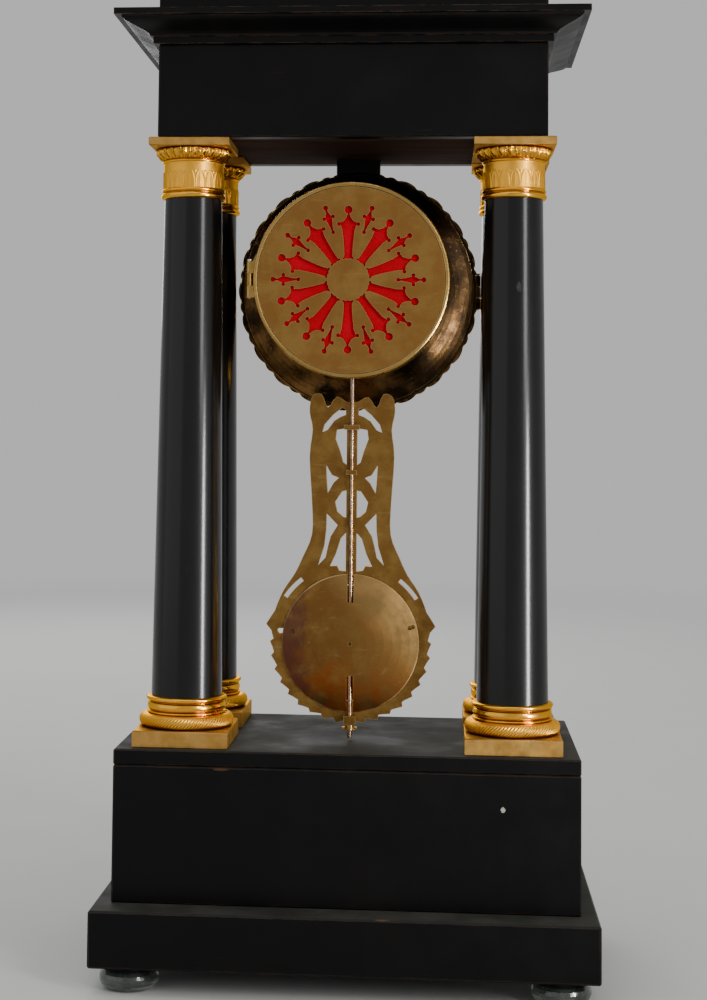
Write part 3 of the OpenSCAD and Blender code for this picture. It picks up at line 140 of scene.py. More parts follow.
class Shader:
    """One procedural material, built round a Principled shader. Lengths are in millimetres."""

    def __init__(self, name, **settings):
        self.material = bpy.data.materials.new(name)
        self.material.use_nodes = True
        self.tree = self.material.node_tree
        self.surface = self.tree.nodes["Principled BSDF"]
        self.place = self.tree.nodes.new("ShaderNodeTexCoord").outputs
        self.set(**settings)

    def node(self, kind, *links, **settings):
        """A new node with its first sockets fed in order; None leaves a socket as it is."""
        made = self.tree.nodes.new("ShaderNode" + kind)
        for key, value in settings.items():
            setattr(made, key, value)
        for socket, value in zip(made.inputs, links):
            self.feed(socket, value)
        return made

    def feed(self, socket, value):
        """Link one socket to another, or set it. A colour may come without its alpha."""
        if isinstance(value, bpy.types.NodeSocket):
            self.tree.links.new(value, socket)
        elif value is not None:
            if socket.type == "RGBA" and len(value) == 3:
                value = (*value, 1)
            socket.default_value = value

    def set(self, **sockets):
        for key, value in sockets.items():
            self.feed(self.surface.inputs[key.replace("_", " ")], value)
        return self.material

    def noise(self, size, detail=3, rough=0.5, stretch=(1, 1, 1), seed=0):
        """Soft noise whose lumps are about size mm across, longer along a stretched axis."""
        shift = (seed * 1.7, seed * 0.9, seed * 1.3)
        scale = [1 / (size * MM * s) for s in stretch]
        place = self.node("Mapping", self.place["Object"], shift, None, scale)
        made = self.node("TexNoise", place.outputs[0])
        made.inputs["Scale"].default_value = 1
        made.inputs["Detail"].default_value = detail
        made.inputs["Roughness"].default_value = rough
        return made.outputs["Fac"]

    def math(self, operation, *values):
        return self.node("Math", *values, operation=operation).outputs[0]

    def plus(self, a, b):
        return self.math("ADD", a, b)

    def minus(self, a, b):
        return self.math("SUBTRACT", a, b)

    def times(self, a, b):
        return self.math("MULTIPLY", a, b)

    def xyz(self):
        """The place on the object along its own x, y and z, in metres."""
        return self.node("SeparateXYZ", self.place["Object"]).outputs

    def level(self, value, low, high, start=0.0, end=1.0):
        """Start below low, end above high, and smooth between."""
        made = self.node("MapRange", value, low, high, start, end, interpolation_type="SMOOTHSTEP")
        return made.outputs[0]

    def mix(self, share, a, b):
        made = self.node("Mix", data_type="RGBA")
        self.feed(made.inputs["Factor"], share)
        self.feed(made.inputs[6], a)
        self.feed(made.inputs[7], b)
        return made.outputs[2]

    def cover(self, colour, tone, where, share):
        """Lay a tone over a colour where the mask is 1, as thick as share."""
        return self.mix(self.times(where, share), colour, tone)

    def bump(self, height, depth, strength=1.0, under=None):
        """Height from 0 to 1 raises the surface by depth mm."""
        made = self.node("Bump")
        made.inputs["Strength"].default_value = strength
        made.inputs["Distance"].default_value = depth * MM
        self.feed(made.inputs["Height"], height)
        self.feed(made.inputs["Normal"], under)
        return made.outputs[0]

    def edges(self, radius):
        """1 within about radius mm of a sharp edge, 0 on faces."""
        rounded = self.node("Bevel", radius * MM, samples=6).outputs[0]
        flat = self.node("NewGeometry").outputs["Normal"]
        dot = self.node("VectorMath", rounded, flat, operation="DOT_PRODUCT").outputs["Value"]
        return self.level(self.minus(1.0, dot), 0.02, 0.2)

    def crevices(self, reach):
        """0 in hollows and corners within reach mm, 1 on open faces."""
        made = self.node("AmbientOcclusion", samples=8, only_local=True)
        made.inputs["Distance"].default_value = reach * MM
        return self.level(made.outputs["AO"], 0.35, 0.95)

    def spot(self, place, radius, stretch):
        """1 within a ragged spot round a place of its own object, in mm."""
        at, shares = [c * MM for c in place], [1 / c for c in stretch]
        off = self.node("VectorMath", self.place["Object"], at, operation="SUBTRACT")
        sized = self.node("VectorMath", off.outputs[0], shares, operation="MULTIPLY")
        away = self.node("VectorMath", sized.outputs[0], operation="LENGTH").outputs["Value"]
        lump, inner, outer = radius * 0.8, radius * 1.2 * MM, radius * 1.5 * MM
        ragged = self.times(self.noise(lump, 3, 0.7), radius * MM)
        return self.level(self.plus(away, ragged), inner, outer, 1, 0)

    def facing(self, axis, low=0.6, high=0.9):
        """1 where the surface faces along the axis of its own object."""
        dot = self.node("VectorMath", self.place["Normal"], axis, operation="DOT_PRODUCT")
        return self.level(dot.outputs["Value"], low, high)


# Wood

def ebonised(name, dusty):
    """Black polished wood with worn edges and scratches: the dusty case, or the polished shafts."""
    specular, coat = (0.14, 0.0) if dusty else (0.05, 0.6)
    grain_run, scratch_run = ((14, 2, 1), (22, 3, 1)) if dusty else ((12, 12, 1), (2, 2, 26))
    wave_depth, chips = (0.4, CASE_CHIPS) if dusty else (0.1, SHAFT_CHIPS)
    s = Shader(name, Specular_IOR_Level=specular, Coat_Weight=coat, Coat_Roughness=0.19)
    worn = s.times(s.edges(0.7), s.level(s.noise(11, 5, 0.7), 0.42, 0.56))
    scratch = s.level(s.noise(1.1, 2, 0.5, scratch_run, 7), 0.74, 0.79)
    colour = s.mix(s.level(s.noise(40, 3), 0.35, 0.75, 0, 0.5), EBONY, EBONY_WARM)
    colour = s.cover(colour, SCRATCH_GREY, scratch, 0.22)
    colour = s.cover(colour, EBONY_WORN, worn, 0.9)
    rough = s.level(s.noise(25, 4, 0.6, seed=5), 0.3, 0.75, 0.34, 0.48)
    for place, radius, stretch, tone in chips:
        colour = s.mix(s.spot(place, radius, stretch), colour, tone)
    if dusty:
        cloud = s.level(s.noise(26, 5, 0.6, seed=9), 0.3, 0.66, 0.55, 1.0)
        lying = s.times(s.facing((0, 0, 1)), cloud)
        colour = s.cover(colour, DUST, lying, 0.8)
        rough = s.plus(rough, s.times(lying, 0.5))
    normal = s.bump(s.noise(3, 6, 0.6, grain_run, 3), 0.05, 0.3)
    normal = s.bump(s.noise(60, 2, seed=2), wave_depth, 0.25, normal)
    return s.set(Base_Color=colour, Roughness=rough, Normal=normal)


def brown_wood():
    """Stained soffit board with its grain running along x."""
    s = Shader("brown_wood", Specular_IOR_Level=0.05)
    fibre = s.noise(1.6, 6, 0.65, (40, 1.5, 1.5), 1)
    figure = s.noise(9, 4, 0.55, (9, 1, 1), 4)
    colour = s.mix(s.level(figure, 0.3, 0.7), SOFFIT_BROWN, SOFFIT_LIGHT)
    colour = s.mix(s.level(fibre, 0.45, 0.75, 0, 0.7), colour, SOFFIT_PORES)
    rough = s.level(fibre, 0.2, 0.8, 0.7, 0.9)
    return s.set(Base_Color=colour, Roughness=rough, Normal=s.bump(fibre, 0.12, 0.6))


# Gilding

def gilding(name, base, pale, rough, lump, milled=False):
    """Fire-gilt bronze: matt or burnished, cloudy, browner in small spots, and darker in its
    hollows as painted shade and partly as patina.
    """
    s = Shader(name, Metallic=1.0, Specular_Tint=METAL_EDGE)
    colour = s.mix(s.level(s.noise(7, 5, 0.6, seed=1), 0.35, 0.7, 0, 0.6), base, pale)
    # Painted shade, partly patina: hollows found by ambient occlusion are darkened
    colour = s.mix(s.crevices(2.5), GILT_SHADE, colour)
    spots = s.level(s.noise(1.8, 4, 0.7, seed=6), 0.62, 0.72)
    colour = s.cover(colour, GILT_SHADE, spots, 0.4)
    normal = s.bump(s.noise(0.5, 4, 0.7, seed=8), lump)
    if milled:
        ridges = milling(s)
        # Painted shade: the troughs between the milled ridges are darkened
        colour = s.mix(s.level(ridges, -1.0, 0.2, 0.35, 0), colour, GILT_SHADE)
        normal = s.bump(ridges, 0.2, 1.0, normal)
    roughness = s.level(s.noise(5, 4, seed=3), 0.3, 0.7, *rough)
    return s.set(Base_Color=colour, Roughness=roughness, Normal=normal)


def milling(s):
    """Slanted fine ridges round the torus of a column base, whose own z axis is its centre line."""
    lines, lean = 84, -3300      # ridges round it, and their turn in radians per metre of height
    low, high, fade = 9.4 * MM, 14.0 * MM, 0.5 * MM
    x, y, z = s.xyz()
    turn = s.times(s.math("ARCTAN2", y, x), lines)
    wave = s.math("SINE", s.plus(turn, s.times(z, lean)))
    above = s.level(z, low, low + fade)
    below = s.level(z, high, high + fade, 1, 0)
    return s.times(wave, s.times(above, below))


def bezel_gilt():
    """The leaf bezel: gilt in front, bare dark casting behind."""
    s = Shader("bezel_gilt", Metallic=1.0, Specular_Tint=METAL_EDGE)
    gilt = s.mix(s.level(s.noise(6, 5, 0.6, seed=2), 0.35, 0.7, 0, 0.5), GILT, GILT_PALE)
    # Painted shade, partly patina: hollows found by ambient occlusion are darkened
    gilt = s.mix(s.crevices(2.0), GILT_SHADE, gilt)
    cast = s.mix(s.level(s.noise(3, 5, 0.7, seed=9), 0.4, 0.65), BROWN_PATINA, CAST_BROWN)
    colour = s.mix(s.facing((0, 1, 0), 0.2, 0.5), gilt, cast)
    rough = s.level(s.noise(4, 4, seed=5), 0.3, 0.7, 0.26, 0.44)
    normal = s.bump(s.noise(0.8, 4, 0.7, seed=4), 0.03)
    return s.set(Base_Color=colour, Roughness=rough, Normal=normal)


# Brass

def aged_brass(name, base, dark, dark_share, patch, rough, seed=0):
    """Old brass: brown patches of about patch mm, dark specks, fine rubbing, and edges painted
    lighter, partly as rubbing and partly as a painted highlight.

    rough is the roughness of its glossiest and its mattest places. The colour is still to be set.
    """
    s = Shader(name, Metallic=1.0, Specular_Tint=METAL_EDGE)
    cloud = s.noise(patch, 6, 0.62, seed=1 + seed)
    fine = s.noise(2.2, 5, 0.7, seed=4 + seed)
    colour = s.mix(s.level(cloud, 0.38, 0.66), dark, base)
    colour = s.mix(s.level(fine, 0.55, 0.75, 0, dark_share), colour, dark)
    speck = s.level(s.noise(0.9, 3, 0.6, seed=11 + seed), 0.68, 0.74)
    colour = s.cover(colour, BROWN_PATINA, speck, 0.6)
    rub = s.level(s.noise(0.5, 3, 0.6, (30, 1, 4), 7 + seed), 0.6, 0.75)
    colour = s.cover(colour, BRASS_BRIGHT, rub, 0.12)
    # Edges painted lighter: partly rubbed brass and partly a painted highlight
    colour = s.cover(colour, BRASS_BRIGHT, s.edges(0.5), 0.7)
    glossy, matt = rough
    roughness = s.level(cloud, 0.3, 0.7, matt, glossy)
    normal = s.bump(s.noise(1.2, 5, 0.65, seed=13 + seed), 0.035)
    s.set(Roughness=roughness, Normal=normal)
    return s, colour


def plain_brass(name, *looks):
    """Aged brass without any colouring of its own; looks are what aged_brass takes."""
    s, colour = aged_brass(name, *looks)
    return s.set(Base_Color=colour)


def bob_brass(centre):
    """The bob seen from behind: olive at the upper right, coppery low down, plum at its left."""
    s, colour = aged_brass("bob_brass", BOB_BRASS, BOB_BRASS_DARK, 0.35, 16, (0.26, 0.5))
    x, _, z = s.xyz()
    ragged = s.times(s.minus(s.noise(12, 5, 0.6, seed=3), 0.5), 0.05)
    across = s.plus(s.minus(x, centre.x), ragged)
    height = s.plus(s.minus(z, centre.z), ragged)
    upper_right = s.level(s.minus(height, across), 0.012, 0.04)
    colour = s.cover(colour, BOB_OLIVE, upper_right, 0.75)
    low_down = s.level(s.minus(s.times(across, 0.35), height), 0.004, 0.026)
    patches = s.level(s.noise(9, 4, 0.6, seed=21), 0.30, 0.56)
    colour = s.cover(colour, COPPER, s.times(low_down, patches), 0.85)
    left_edge = s.level(across, 0.019, 0.034)
    return s.set(Base_Color=s.cover(colour, PLUM, left_edge, 0.8))


def dish_brass(centre):
    """The dished plate: nearly black and glossy, with a painted reflection in brass tones low down
    at its left.
    """
    s, colour = aged_brass("dish_brass", DISH_BRASS, DISH_BRASS_DARK, 0.7, 16, (0.18, 0.34), 5)
    x, _, z = s.xyz()
    # Painted reflection: laid in ragged patches low down and to the left of the plate, where shown
    # is its mask
    low_down = s.level(s.minus(z, centre.z), -0.045, 0.012, 1.0, 0.12)
    to_left = s.level(s.minus(x, centre.x), -0.035, 0.02, 0.2, 1.0)
    patches = s.level(s.noise(22, 5, 0.6, seed=31), 0.42, 0.62)
    shown = s.times(patches, s.times(low_down, to_left))
    return s.set(Base_Color=s.cover(colour, DISH_PAINTED_REFLECTION, shown, 0.85))


# Steel

def iron(name, base, stained, rough):
    """Polished steel or iron with a faint stain; rough as in aged_brass."""
    s = Shader(name, Metallic=1.0)
    stain = s.noise(4, 5, 0.65, seed=2)
    tone = s.mix(s.level(stain, 0.35, 0.7), stained, base)
    glossy, matt = rough
    roughness = s.level(stain, 0.3, 0.7, matt, glossy)
    polish = s.bump(s.noise(0.4, 3, 0.6, (1, 1, 20), 5), 0.004)
    return s.set(Base_Color=tone, Roughness=roughness, Normal=polish)


# Silk, enamel, ink and glass

def red_silk():
    """Bright red silk with a fine weave and a soft sheen."""
    s = Shader("red_silk", Roughness=0.62, Sheen_Weight=0.03, Sheen_Roughness=0.4,
               Sheen_Tint=SILK_SHEEN, Specular_IOR_Level=0.02)
    thread_pitch = 0.28 * MM
    x, _, z = s.xyz()
    warp = s.math("SINE", s.times(x, 2 * math.pi / thread_pitch))
    weft = s.math("SINE", s.times(z, 2 * math.pi / thread_pitch))
    weave = s.times(warp, weft)
    colour = s.mix(s.level(s.noise(14, 4, seed=2), 0.35, 0.7), SILK_DEEP, SILK_RED)
    colour = s.mix(s.level(weave, -1, 1, 0, 0.15), colour, SILK_THREAD)
    return s.set(Base_Color=colour, Normal=s.bump(weave, 0.04, 0.6))


def enamel():
    """White fired enamel with faint mottling, hairline cracks and a slightly uneven surface."""
    s = Shader("enamel", Specular_IOR_Level=0.6, Coat_Weight=0.5, Coat_Roughness=0.04)
    tone = s.mix(s.level(s.noise(10, 4, seed=2), 0.35, 0.7), ENAMEL_AGED, ENAMEL)
    opening = s.level(s.noise(14, 7, 0.75, seed=5), 0.496, 0.5)
    closing = s.level(s.noise(14, 7, 0.75, seed=5), 0.5, 0.504, 1, 0)
    tone = s.cover(tone, ENAMEL_CRAZE, s.times(opening, closing), 0.12)
    rough = s.level(s.noise(5, 3), 0.3, 0.7, 0.12, 0.2)
    return s.set(Base_Color=tone, Roughness=rough, Normal=s.bump(s.noise(3, 2, seed=8), 0.02))


def ink():
    """Fired black of the dial's figures, a little worn."""
    s = Shader("dial_ink", Specular_IOR_Level=0.4)
    tone = s.mix(s.level(s.noise(3, 4), 0.4, 0.7), INK, INK_WORN)
    return s.set(Base_Color=tone, Roughness=s.level(s.noise(2, 3), 0.3, 0.7, 0.3, 0.5))


def clear_glass():
    """Thin clear glass that lets light through, with faint smears on its polish."""
    s = Shader("clear_glass", Alpha=0.16, IOR=1.45, Coat_Weight=1.0, Coat_Roughness=0.02)
    tone = s.mix(s.level(s.noise(30, 2), 0.3, 0.7), GLASS_TINT, GLASS_TINT_DARK)
    smear = s.level(s.noise(12, 5, 0.6, (3, 1, 1), 3), 0.5, 0.8, 0.02, 0.12)
    return s.set(Base_Color=tone, Roughness=smear)


def foot_glass():
    """Dark greenish-grey pressed glass of the bun feet, a little cloudy and dusty."""
    s = Shader("foot_glass", Transmission_Weight=0.8, IOR=1.5, Coat_Weight=0.3, Coat_Roughness=0.1)
    tone = s.mix(s.level(s.noise(8, 4, seed=3), 0.35, 0.7), FOOT_GREEN, FOOT_GREEN_PALE)
    tone = s.mix(s.level(s.noise(2, 5, 0.7, seed=6), 0.55, 0.75, 0, 0.4), tone, FOOT_GRIME)
    rough = s.level(s.noise(4, 4, seed=2), 0.35, 0.7, 0.06, 0.3)
    return s.set(Base_Color=tone, Roughness=rough, Normal=s.bump(s.noise(6, 3, seed=5), 0.15))


# Mesh helpers

def new_object(name, points, faces, materials):
    """A mesh object in the scene, from points in metres round its own origin."""
    mesh = bpy.data.meshes.new(name)
    mesh.from_pydata(points, [], faces)
    mesh.update()
    for material in materials:
        mesh.materials.append(material)
    made = bpy.data.objects.new(name, mesh)
    bpy.context.scene.collection.objects.link(made)
    return made


def new_piece(name, points, faces, body, materials, place, smooth=True):
    """A mesh piece at its place, riding on a body."""
    piece = new_object(name, points, faces, materials)
    for face in piece.data.polygons:
        face.use_smooth = smooth
    piece.location = place
    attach(piece, body)
    return piece


def centre_of(node):
    low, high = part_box(node)
    return (low + high) / 2


def dress(material, *names):
    """Give CAD nodes one material in place of their own."""
    for name in names:
        mesh = NODES[name].data
        mesh.materials.clear()
        mesh.materials.append(material)


def bulge(t):
    """Smooth hump: 1 at t = 0, 0 from t = 1 on."""
    t = min(abs(t), 1)
    return 1 - t * t * (3 - 2 * t)


class Turned:
    """Points and faces of a closed turned form about z whose rings may carry relief."""

    def __init__(self, steps):
        self.steps = steps
        self.points = []
        self.faces = []
        self.tones = []      # each face's index in the piece's list of materials

    def ring(self, radius, height, tone=0, relief=None):
        """radius and height in mm; relief(share of a turn) gives how far it stands out in mm."""
        for i in range(self.steps):
            share = i / self.steps
            angle = 2 * math.pi * share
            r = (radius + (relief(share) if relief else 0)) * MM
            self.points.append((r * math.cos(angle), r * math.sin(angle), height * MM))
        rings = len(self.points) // self.steps
        if rings > 1:
            low, high = (rings - 2) * self.steps, (rings - 1) * self.steps
            for i in range(self.steps):
                j = (i + 1) % self.steps
                self.faces.append((low + i, low + j, high + j, high + i))
                self.tones.append(tone)

    def moulding(self, radius, height, out, up, start, end, cuts, tone):
        """Rings along an arc round (radius, height), from start to end degrees.

        out and up are the arc's half axes in mm, and cuts is how many strips it has.
        """
        for i in range(cuts + 1):
            a = math.radians(start + (end - start) * i / cuts)
            self.ring(radius + out * math.cos(a), height + up * math.sin(a), tone)

    def close(self):
        """Flat fans over the first and the last ring."""
        last = len(self.points) // self.steps - 1
        for ring, upward in ((0, False), (last, True)):
            hub = len(self.points)
            self.points.append((0, 0, self.points[ring * self.steps][2]))
            for i in range(self.steps):
                a, b = ring * self.steps + i, ring * self.steps + (i + 1) % self.steps
                self.faces.append((hub, a, b) if upward else (hub, b, a))
                self.tones.append(0)

    def slab(self, width, low, high, bevel, tone):
        """A square slab with bevelled edges, as a solid of its own."""
        wide, narrow = width / 2, width / 2 - bevel
        levels = ((low, narrow), (low + bevel, wide), (high - bevel, wide), (high, narrow))
        start = len(self.points)
        for height, half in levels:
            for x, y in ((-1, -1), (1, -1), (1, 1), (-1, 1)):
                self.points.append((x * half * MM, y * half * MM, height * MM))
        for k in range(len(levels) - 1):
            for i in range(4):
                a, b = start + 4 * k + i, start + 4 * k + (i + 1) % 4
                self.faces.append((a, b, b + 4, a + 4))
                self.tones.append(tone)
        self.faces.append((start + 3, start + 2, start + 1, start))
        self.faces.append((start + 12, start + 13, start + 14, start + 15))
        self.tones += [tone, tone]

    def replace(self, node, name, slot, materials):
        """Make the piece where the node stands, riding on the case, and let it replace the node."""
        place = centre_of(node)
        place.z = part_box(node)[0].z
        made = new_piece(name, self.points, self.faces, "case", materials, place)
        large = 4e-5      # m2; only a slab's sides and top are larger, and they stay flat
        for face, tone in zip(made.data.polygons, self.tones):
            face.material_index = tone
            if len(face.vertices) == 4 and face.area > large:
                face.use_smooth = False
        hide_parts(node)


# Column capitals and bases, in mm

MATT, BRIGHT, BLOCK = 0, 1, 2      # places in the list of materials of a capital or base
CAPITAL_H = 26.2
ABACUS_T = 4.4
ECHINUS_H = 6.1
LEAVES = 18
EGGS = 24
STEPS_PER_EGG = 18
BASE_STEPS = 192


def neck_leaves(height):
    """Upright pointed leaves with a raised border and midrib, and buds between their tips.

    u runs across one leaf from -0.5 to 0.5 and v from 0 at its foot to 1 at its tip.
    """
    low, tall = 5.6, 8.6
    v = (height - low) / tall
    depth, half_width = 0.34, 0.43
    border_w, rib_w, rib_top = 0.075, 0.05, 0.86
    bud_v, bud_r, pitch = 0.93, 0.75, 5.2

    def relief(share):
        u = (share * LEAVES) % 1 - 0.5
        if v > 1.12:
            return 0
        arch = half_width * math.sqrt(max(0, 1 - max(0, v) ** 2.6))
        border = bulge((abs(u) - arch) / border_w) if v < 1 else 0
        rib = 0.7 * bulge(u / rib_w) * (v < rib_top)
        leaf = 0.35 * (abs(u) < arch) * (v < 1)
        bud = bulge(math.hypot((abs(u) - 0.5) * pitch, (v - bud_v) * tall) / bud_r)
        return depth * max(border, rib, leaf, bud)
    return relief


def egg_relief(v):
    """Upright eggs in thin raised shells; v runs from 0 below to 1 at the crown."""
    half_width, shell_w = 0.43, 0.06
    egg_v, egg_half_w, egg_half_h = 0.62, 0.40, 0.70
    tall, sunk = 1.1, 0.8

    def relief(share):
        u = (share * EGGS) % 1 - 0.5
        half = half_width * math.sqrt(max(0, 1 - (1 - min(v * 1.12, 1)) ** 2))
        shell = 0.8 * bulge((abs(u) - half) / shell_w)
        egg = bulge(math.hypot(u / egg_half_w, (v - egg_v) / egg_half_h))
        return tall * max(shell, egg) - sunk
    return relief


def capital(corner, materials):
    """Rings, a neck of upright leaves, a bead, an echinus of eggs and a square abacus."""
    node = "column_capital_" + corner
    low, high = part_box(node)
    neck, crown = 15.7, 19.85
    echinus = CAPITAL_H - ECHINUS_H
    leaves_z, leaf_rows, egg_rows = 5.5, 34, 20
    body = Turned(EGGS * STEPS_PER_EGG)
    body.ring(neck - 0.6, 0)
    body.moulding(neck - 0.4, 1.6, 1.6, 1.6, -80, 80, 8, BRIGHT)
    body.moulding(neck, 4.4, 0.9, 0.9, -75, 75, 6, BRIGHT)
    for i in range(leaf_rows + 1):
        height = leaves_z + (echinus - 1.4 - leaves_z) * i / leaf_rows
        body.ring(neck, height, MATT, neck_leaves(height))
    body.moulding(neck + 0.15, echinus - 0.65, 0.65, 0.6, -90, 90, 6, BRIGHT)
    for i in range(egg_rows + 1):
        v = i / egg_rows
        radius = neck + 0.5 + (crown - neck - 0.5) * math.sin(math.radians(8 + 82 * v))
        height = echinus + 0.2 + (ECHINUS_H - 0.7) * v ** 1.15
        body.ring(radius, height, BRIGHT, egg_relief(v))
    body.ring(crown - 1.6, CAPITAL_H, BRIGHT)
    body.close()
    body.slab(high.x / MM - low.x / MM, CAPITAL_H, CAPITAL_H + ABACUS_T, 0.45, BLOCK)
    body.replace(node, "capital_" + corner, "gilt_bronze", materials)


def column_base(corner, materials):
    """A square block, a milled torus, a thin ring, a bold round and a ring under the shaft."""
    node = "column_base_" + corner
    low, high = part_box(node)
    width = (high.x - low.x) / MM
    block, torus, upper = 8.5, 6.82, 15.5
    shaft = 18.2
    waist, top = block + torus, block + upper
    half = torus / 2
    body = Turned(BASE_STEPS)
    body.ring(width / 2 - half, block - 0.05)
    body.moulding(width / 2 - half, block + half, half, half, -86, 82, 12, MATT)
    body.ring(shaft + 2.1, waist + 0.1, BRIGHT)
    body.moulding(shaft + 1.5, waist + 0.7, 0.55, 0.55, -90, 90, 6, BRIGHT)
    body.moulding(shaft + 0.2, waist + 3.6, 1.6, 2.3, -80, 80, 12, BRIGHT)
    body.ring(shaft + 0.7, top - 2.4, BRIGHT)
    body.moulding(shaft + 1.4, top - 1.12, 1.1, 1.1, -90, 90, 8, BRIGHT)
    body.close()
    body.slab(width, 0, block, 0.5, BLOCK)
    body.replace(node, "base_" + corner, "gilt_bronze", materials)


# Bezel ornament

def raised(turn, radius):
    """Chased height from 0 to 1 on the bezel's front, radius in mm: tongues and leaf midribs."""
    tongues, tongue_r, tongue_h, slope_r = 30, 54.5, 6.0, 54
    leaves, leaf_r, rib_height = 44, 61.4, 0.7
    out = (radius - tongue_r) / tongue_h
    inside = 1 - math.sin(tongues * turn) ** 2 - out * out
    tongue = 1 - bulge(max(inside, 0) / 0.4) if radius > slope_r else 0
    rib = 1 - bulge(max(math.cos(leaves * turn) - 0.1, 0) / 0.9) if radius > leaf_r else 0
    return max(tongue, rib_height * rib)


def bezel_grid(centre, steps, rows):
    """Points on the casting's front by row and step, in metres round centre, and their height."""
    inner_r, outer_r, reach = 53.2, 66.6, 8 * MM
    tall, sunk = 0.75, 0.06      # mm; the relief's flat parts lie in the casting
    cast = NODES["leaf_bezel"].data
    front = BVHTree.FromPolygons([v.co for v in cast.vertices], [f.vertices for f in cast.polygons])
    rearward = Vector((0, 1, 0))
    grid = {}
    for row in range(rows + 1):
        radius = inner_r + (outer_r - inner_r) * row / rows
        for i in range(steps):
            turn = 2 * math.pi * i / steps
            x, z = radius * MM * math.sin(turn), radius * MM * math.cos(turn)
            hit = front.ray_cast(Vector((centre.x + x, centre.y, centre.z + z)), rearward)[0]
            if hit and hit.y < centre.y + reach:
                height = raised(turn, radius)
                depth = hit.y - centre.y - (tall * height - sunk) * MM
                grid[row, i] = ((x, depth, z), height)
    return grid


def bezel_ornament(material):
    """The chased relief, laid on the front of the bezel's casting."""
    steps, rows, largest_step = 1200, 32, 1.5 * MM
    centre = centre_of("dial")
    centre.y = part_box("leaf_bezel")[0].y - MM
    grid = bezel_grid(centre, steps, rows)
    points, faces, numbers = [], [], {}
    for row in range(rows):
        for i in range(steps):
            j = (i + 1) % steps
            keys = [(row, i), (row, j), (row + 1, j), (row + 1, i)]
            if not all(key in grid for key in keys):
                continue
            depths = [grid[key][0][1] for key in keys]
            heights = [grid[key][1] for key in keys]
            if max(depths) - min(depths) > largest_step or max(heights) == 0:
                continue
            for key in keys:
                if key not in numbers:
                    numbers[key] = len(points)
                    points.append(grid[key][0])
            faces.append([numbers[key] for key in keys])
    new_piece("bezel_ornament", points, faces, "bezel", [material], centre)


# Rear door silk

def silk_disc(material):
    """Silk stretched behind the pierced plate, with faint pulls running out from the middle."""
    low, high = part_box("rear_door_silk")
    radius = (high.x - low.x) / 2
    rings, steps, pull = 24, 120, 0.12 * MM
    waves = (7, 12, 17)      # pulls round the disc
    rng = random.Random(4)
    phase = [rng.uniform(0, 2 * math.pi) for _ in waves]
    points = [(0, 0, 0)]
    for k in range(1, rings + 1):
        r = radius * k / rings
        for i in range(steps):
            a = 2 * math.pi * i / steps
            wave = sum(math.sin(n * a + p) for n, p in zip(waves, phase)) / len(waves)
            depth = pull * wave * math.sin(math.pi * k / rings)
            points.append((r * math.cos(a), depth, r * math.sin(a)))
    faces = [(0, 1 + i, 1 + (i + 1) % steps) for i in range(steps)]
    for k in range(rings - 1):
        for i in range(steps):
            a, b = 1 + k * steps + i, 1 + k * steps + (i + 1) % steps
            faces.append((a, a + steps, b + steps, b))
    place = centre_of("rear_door_silk")
    silk = new_piece("silk_lining", points, faces, "rear_door", [material], place)
    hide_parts("rear_door_silk")


# Dial marks, in mm

NUMERALS = ("XII", "I", "II", "III", "IIII", "V", "VI", "VII", "VIII", "IX", "X", "XI")
NUMERAL_R = 34.2
NUMERAL_H = 8.4
LETTER_WIDTHS = {"I": 2.1, "V": 4.6, "X": 5.0}
THICK, THIN, SERIF_W = 1.15, 0.42, 0.35
TRACK = (41.2, 43.4)      # radii of the minute track
HOUR_MARK_W, MINUTE_MARK_W, TRACK_LINE_W = 0.9, 0.35, 0.22
TRACK_PARTS = 180
PROUD = 0.03      # how far the marks stand off the enamel


def stroke(points, faces, a, b, width):
    """A flat stroke from a to b in the dial's plane, in mm."""
    a, b = Vector(a), Vector(b)
    side = Vector((-(b - a).y, (b - a).x)).normalized() * width / 2
    start = len(points)
    points += [a - side, b - side, b + side, a + side]
    faces.append(tuple(range(start, start + 4)))


def letter_strokes(letter, x):
    """Strokes of one letter whose left side is at x, as both ends and the width."""
    low, high = -NUMERAL_H / 2, NUMERAL_H / 2
    mid, half = x + LETTER_WIDTHS[letter] / 2, LETTER_WIDTHS[letter] / 2 - 0.9
    if letter == "I":
        made = [((mid, low), (mid, high), THICK)]
        feet = [(mid, low), (mid, high)]
    elif letter == "V":
        made = [((mid - half, high), (mid, low), THICK), ((mid + half, high), (mid, low), THIN)]
        feet = [(mid - half, high), (mid + half, high)]
    else:
        made = [((mid - half, high), (mid + half, low), THICK),
                ((mid - half, low), (mid + half, high), THIN)]
        feet = [(mid + side * half, z) for z in (low, high) for side in (-1, 1)]
    reach = 0.95
    return made + [((foot - reach, z), (foot + reach, z), SERIF_W) for foot, z in feet]


